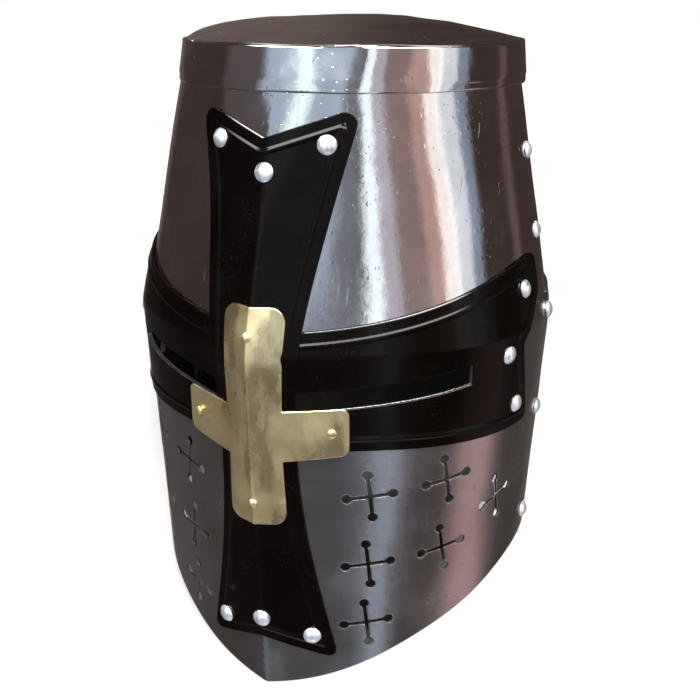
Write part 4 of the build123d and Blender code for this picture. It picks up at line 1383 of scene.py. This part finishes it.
def strap_plate(gathered, ribbon, loops):
    """A leather strap with rounded edges, a creased stitch line and open holes."""
    loops = facing(loops)
    flat, faces = triangulated(loops, CREASE, 2.2)
    gap, _ = nearest(flat, loops)
    edge = np.clip(1 - gap / LEATHER_ROUND, 0, 1)
    line_gap, _ = nearest(flat, loops[:1])
    creased, _ = embossed(CREASE, line_gap)
    points = [ribbon.lay(flat, side, creased - LEATHER_DROP * edge**2)[0] for side in (1, -1)]
    sides = [faces, *closing(faces, len(flat))]
    gathered.add(np.concatenate(points), [face for side in sides for face in side.tolist()])


def seam_route(ribbon, side, spot_at, end, lift):
    """Route on one face of a strap: spot_at gives the flat spot at a distance, up to an end."""

    def route(spot):
        if spot > end:
            return None
        point, out = ribbon.lay(np.array([spot_at(spot)]), side, np.array([lift]))
        return point[0], out[0]

    return route


def strap_stitches(gathered, ribbon, start, end):
    """Rows of thread in the creases on both faces of a strap."""
    inset = STRAP_HALF - CREASE.middle
    for side in (1, -1):
        for across in (-inset, inset):
            row = seam_route(ribbon, side, lambda s: (start + s, across), end - start, CREASE.height + 0.1)
            stitched(gathered, row)


def round_hole(along, across, radius):
    angles = np.linspace(0, 2 * pi, 20, endpoint=False)
    return np.stack([along + radius * np.cos(angles), across + radius * np.sin(angles)], -1)


def slot_hole(along, length, width):
    """Slot with round ends, along the strap's middle line."""
    radius, reach = width / 2, (length - width) / 2
    angles = np.linspace(-pi / 2, pi / 2, 9)
    end = np.stack([reach + radius * np.cos(angles), radius * np.sin(angles)], -1)
    sides = np.linspace(reach, -reach, 8)[1:-1]
    far = np.stack([sides, np.full(6, radius)], -1)
    half = np.concatenate([end, far])
    return np.concatenate([half, -half]) + [along, 0.0]


def strap_outline(length, start_radius, end_radius):
    half = STRAP_HALF
    corners = [(0.0, -half), (length, -half), (length, half), (0.0, half)]
    runs = [line(*ends) for ends in zip(corners, corners[1:] + corners[:1])]
    return outline(runs, [start_radius, end_radius, end_radius, start_radius], 1.6)


def chin_strap_long():
    """Long strap: from the right ear under the chin and out through the buckle."""
    tail, low = leg_point(-22.0, TAIL_LIFT), leg_point(42.0, TAIL_LIFT)
    corners = [tail, (low[0], STRAP_BOTTOM), (-low[0], STRAP_BOTTOM)]
    corners += [(EAR_X, EAR_TURN_HEIGHT), (EAR_X, EAR_TOP)]
    ribbon = Ribbon(filleted(corners, [20.0, 20.0, 12.0]), lambda s: s * 0 + LEATHER)
    rivet_at = ribbon.length - (EAR_TOP - EAR_RIVET)
    loops = [strap_outline(ribbon.length, 8.0, 5.0), round_hole(rivet_at, 0.0, RIVET_HOLE)]
    loops += [slot_hole(31.3, 13.0, 3.2)]
    loops += [round_hole(24.0 - 9.0 * step, 0.0, PUNCHED_HOLE) for step in (1, 2)]
    gathered = Gathered()
    strap_plate(gathered, ribbon, loops)
    strap_stitches(gathered, ribbon, 7.0, ribbon.length - 6.0)
    return gathered.made("strap_long", LEATHER_FINISH, THREAD_FINISH)


def chin_strap_short():
    """Short strap: from the left ear to the buckle, folded back round its bar and sewn."""
    fold, fold_radius, thin, seam_half = 15.0, 2.25, 1.8, 6.0
    down = filleted([(-EAR_X, EAR_TOP), (-EAR_X, EAR_TURN_HEIGHT), leg_point(-20.0, 0.0)], [12.0])
    rising = [leg_point(*spot) for spot in ((-20.0, 0.0), (-13.0, 0.6), (-6.0, 1.95), (0.0, fold_radius))]
    angles = np.linspace(pi / 2, -pi / 2, 24)
    wrap = [leg_point(fold_radius * cos(a), fold_radius * sin(a)) for a in angles]
    back = [leg_point(-u, -fold_radius + 0.2 * u / fold) for u in (3.0, 9.0, fold)]
    path = resample(np.concatenate([down[:-1], spline(*rising)[:-1], wrap, back]), 0.4)
    bar = distances(path)[-1] - fold - 0.5 * pi * fold_radius
    ribbon = Ribbon(path, lambda s: np.interp(s, [bar - 24.0, bar - 8.0], [LEATHER, thin]))
    loops = [strap_outline(ribbon.length, 5.0, 3.0)]
    loops += [round_hole(EAR_TOP - EAR_RIVET, 0.0, RIVET_HOLE), slot_hole(bar, 17.0, 3.6)]
    gathered = Gathered()
    strap_plate(gathered, ribbon, loops)
    strap_stitches(gathered, ribbon, 6.0, bar - 13.0)
    for along in (bar - 11.0, bar - 16.5):
        row = seam_route(ribbon, -1, lambda s: (along, s - seam_half), 2 * seam_half, 0.1)
        stitched(gathered, row)
    return gathered.made("strap_short", LEATHER_FINISH, THREAD_FINISH)


# --------------------------------------------------------------------------------- camera
# Where the helm was looked at from: angles in degrees, 0 in front and 90 on the +X side; the spot
# in millimetres, with its height above the tip.
VIEW_AZIMUTH, VIEW_ELEVATION, VIEW_ROLL = 22.621, 16.757, 0.468
CAMERA_SPOT = np.array([189.449, -466.981, 317.618])
SENSOR = 36.0
FOCAL_SHARE = 1.4252  # focal length over the picture's width
SHIFT_X, SHIFT_Y = 0.0130, -0.0732


def toward(azimuth, elevation):
    """Unit ways to azimuths and elevations in degrees."""
    a, e = np.radians(azimuth), np.radians(elevation)
    return np.stack([np.sin(a) * np.cos(e), -np.cos(a) * np.cos(e), np.sin(e)], -1)


def camera():
    data = bpy.data.cameras.new("camera")
    data.sensor_width = SENSOR
    data.lens = FOCAL_SHARE * SENSOR
    data.shift_x, data.shift_y = SHIFT_X, SHIFT_Y
    data.clip_start = 0.01
    back = Vector(toward(VIEW_AZIMUTH, VIEW_ELEVATION))
    level = Vector(toward(VIEW_AZIMUTH + 90, 0))
    rise, roll = back.cross(level), radians(VIEW_ROLL)
    right = level * cos(roll) + rise * sin(roll)
    up = rise * cos(roll) - level * sin(roll)
    turn = Matrix((right, up, back)).transposed()
    made = linked("camera", data)
    made.matrix_world = Matrix.Translation(Vector(to_frame(CAMERA_SPOT))) @ turn.to_4x4()
    bpy.context.scene.camera = made


# ------------------------------------------------------------------------ light and floor
# The studio as the polished faces mirror it: strips of light in a dark warm room, between two
# azimuths in degrees; edge is how wide a strip fades at its two ends.
Strip = namedtuple("Strip", "start end edge colour")
HIGH_ROOM = (0.060, 0.041, 0.037)
HIGH_STRIPS = [
    Strip(-158, -126, 16, (0.085, 0.070, 0.060)),
    Strip(-66, -36, 10, (0.06, 0.06, 0.065)),
    Strip(-34, 21, 9, (0.42, 0.54, 0.70)),
    Strip(-13, -1, 7, (0.75, 0.90, 0.75)),
    Strip(18, 31, 8, (0.16, 0.19, 0.24)),
    Strip(32.5, 38.5, 2, (1.25, 1.45, 1.55)),
    Strip(38, 47, 4, (0.55, 0.54, 0.64)),
    Strip(47, 65, 5, (0.27, 0.20, 0.19)),
    Strip(64, 74, 6, (0.55, 0.37, 0.32)),
    Strip(73, 83, 4, (1.25, 1.20, 1.15)),
    Strip(82, 95, 4, (0.85, 0.92, 1.00)),
    Strip(94, 104, 5, (0.24, 0.31, 0.42)),
    Strip(134, 142, 6, (0.085, 0.065, 0.065)),
]
LOW_ROOM = (0.080, 0.066, 0.062)
LOW_STRIPS = [
    Strip(-180, -166, 12, (0.10, 0.10, 0.09)),
    Strip(-147, -134, 7, (0.55, 0.55, 0.53)),
    Strip(-126, -84, 16, (0.03, 0.03, 0.03)),
    Strip(-46, -4, 16, (0.08, 0.12, 0.15)),
    Strip(8, 39, 10, (0.012, 0.028, 0.040)),
    Strip(39.5, 45.5, 3, (0.72, 0.84, 1.08)),
    Strip(84, 98, 7, (0.45, 0.28, 0.29)),
    Strip(97, 115, 6, (0.55, 0.36, 0.35)),
    Strip(114, 127, 7, (0.15, 0.11, 0.11)),
    Strip(168, 180, 10, (0.07, 0.07, 0.065)),
]
MIX_FROM, MIX_TO = -20.0, -10.0  # elevations between which the lower strips give way to the upper
# Softboxes over and under the helm, for the highlights on edges, ribs and rivet heads.
Softbox = namedtuple("Softbox", "azimuth half_width low high edge colour")
SOFTBOXES = [
    Softbox(15, 70, 38, 66, 8, (27.0, 28.0, 29.0)),
    Softbox(-165, 60, 52, 66, 10, (1.2, 1.2, 1.2)),
    Softbox(15, 85, -84, -60, 8, (0.8, 0.8, 0.8)),
]
SURROUND_REACH, BACKDROP_REACH = 4.0, 12.0
FLOOR_SIDES, FLOOR_GAP = 64, 0.0005  # metres between the tip and the floor
AMBIENT = 0.03


def between(value, low, high, edge):
    """1 between two values and 0 outside them, fading over an edge."""
    return smooth_step(value, low, edge) * (1 - smooth_step(value, high, edge))


def strip_light(azimuth, room, strips):
    colour = np.tile(np.array(room), (len(azimuth), 1))
    for strip in strips:
        lit = between(azimuth, strip.start, strip.end, strip.edge)
        colour += lit[:, None] * np.array(strip.colour)
    return colour


def studio_light(azimuth, elevation):
    """Colour of the studio seen from the helm in each direction."""
    upper = smooth_step(elevation, (MIX_FROM + MIX_TO) / 2, MIX_TO - MIX_FROM)[:, None]
    colour = strip_light(azimuth, HIGH_ROOM, HIGH_STRIPS) * upper
    colour += strip_light(azimuth, LOW_ROOM, LOW_STRIPS) * (1 - upper)
    for box in SOFTBOXES:
        turn = np.abs((azimuth - box.azimuth + 180) % 360 - 180)
        lit = 1 - smooth_step(turn, box.half_width, 2 * box.edge)
        lit = lit * between(elevation, box.low, box.high, box.edge)
        colour += lit[:, None] * np.array(box.colour)
    return colour


def hide_from(piece, *rays):
    for ray in rays:
        setattr(piece, "visible_" + ray, False)


def glow_paint(name):
    """A material that shines with the colours of the mesh it is on."""
    material = bpy.data.materials.new(name)
    material.use_nodes = True
    tree = material.node_tree
    tree.nodes.clear()
    colour = tree.nodes.new("ShaderNodeVertexColor")
    colour.layer_name = "glow"
    emission = tree.nodes.new("ShaderNodeEmission")
    end = tree.nodes.new("ShaderNodeOutputMaterial")
    tree.links.new(colour.outputs["Color"], emission.inputs["Color"])
    tree.links.new(emission.outputs[0], end.inputs["Surface"])
    return material


def shell(name, reach, columns, rows, paint):
    """A ball round the helm that glows with the colours paint gives, and takes part in no shadow."""
    spots = np.meshgrid(np.linspace(-180, 180, columns), np.linspace(-90, 90, rows))
    azimuth, elevation = (spot.ravel() for spot in spots)
    faces = grid_faces(np.arange(azimuth.size).reshape(rows, columns))
    made = new_object(name, reach * toward(azimuth, elevation), faces, (glow_paint(name),))
    glow = np.concatenate([paint(azimuth, elevation), np.ones((azimuth.size, 1))], 1)
    colours = made.data.color_attributes.new(name="glow", type="FLOAT_COLOR", domain="POINT")
    colours.data.foreach_set("color", glow.ravel())
    hide_from(made, "diffuse", "transmission", "volume_scatter", "shadow")
    return made


def white_paper(azimuth, elevation):
    return np.ones((azimuth.size, 3))


def surround():
    """The studio, which only reflections see, and the white paper behind the helm, which they don't."""
    studio = shell("surround", SURROUND_REACH, 721, 91, studio_light)
    hide_from(studio, "camera")
    paper = shell("backdrop", BACKDROP_REACH, 97, 49, white_paper)
    hide_from(paper, "glossy")


def sun(name, azimuth, elevation, strength, softness):
    """Even light from one side, which doesn't show in the steel."""
    data = bpy.data.lights.new(name, "SUN")
    data.energy = strength
    data.angle = radians(softness)
    made = linked(name, data)
    made.rotation_mode = "QUATERNION"
    made.rotation_quaternion = Vector(-toward(azimuth, elevation)).to_track_quat("-Z", "Y")
    hide_from(made, "glossy")


def flag(name, turns, low, high, off):
    """A studio flag at a distance from the form, which only stops the sun."""
    turn, share = np.meshgrid(turns, np.linspace(0.0, 1.0, 8))
    points = on_form(turn.ravel(), (low + (high - low) * share).ravel(), off)
    faces = grid_faces(np.arange(turn.size).reshape(turn.shape))
    made = new_object(name, to_frame(points), faces)
    hide_from(made, "camera", "diffuse", "glossy", "transmission", "volume_scatter")


def flags():
    """One behind the face and one round the back, so that the sights and breaths look into the dark."""
    turns = np.linspace(-1.3, 1.3, 53)
    hem = np.interp(on_form(turns, 20.0)[:, 1], *HEM.T)
    flag("face_flag", turns, low=hem + 6.0, high=150.0, off=-9.0)
    flag("back_flag", np.linspace(1.4, 2.0, 13), low=3.0, high=100.0, off=12.0)


def floor():
    """White paper on which the tip of the face stands."""
    around = np.radians(np.arange(FLOOR_SIDES) * 360 / FLOOR_SIDES)
    rim = BACKDROP_REACH * np.stack([np.cos(around), np.sin(around), around * 0], -1)
    paint = Finish("floor_paper", Roughness=1.0, Specular_IOR_Level=0.0, Base_Color=rgb(0.93, 0.93, 0.93))
    points = rim + np.array([0.0, 0.0, CAD_BOX[0].z - FLOOR_GAP])
    made = new_object("floor", points, [range(FLOOR_SIDES)], (paint.material,))
    hide_from(made, "glossy")


def world():
    made = bpy.data.worlds.new("studio")
    made.use_nodes = True
    background = made.node_tree.nodes["Background"].inputs
    background["Color"].default_value = rgb(1.0, 1.0, 1.0)
    background["Strength"].default_value = AMBIENT
    bpy.context.scene.world = made
    bpy.context.scene.view_settings.view_transform = "Standard"


# ------------------------------------------------------------------------------- assembly
# Each function that builds a piece has the name of the node it stands for.
HELM = [upper_front_plate, upper_back_plate, face_plate, neck_plate, eye_band, upright_bar]
HELM += [brass_cross, crown_cap, head_band, crown_tabs, tab_lace]
for build in HELM:
    placed(build(), build.__name__, "helm_shell")
for build in (chin_strap_long, chin_strap_short):
    placed(build(), build.__name__, "chin_strap")

for node, piece in frame["nodes"].items():
    piece.data.materials.clear()
    piece.data.materials.append(FINISH_OF[SLOT_OF[node]])

surround()
sun("front_light", azimuth=29, elevation=33, strength=6.4, softness=14)
flags()
floor()
world()
camera()
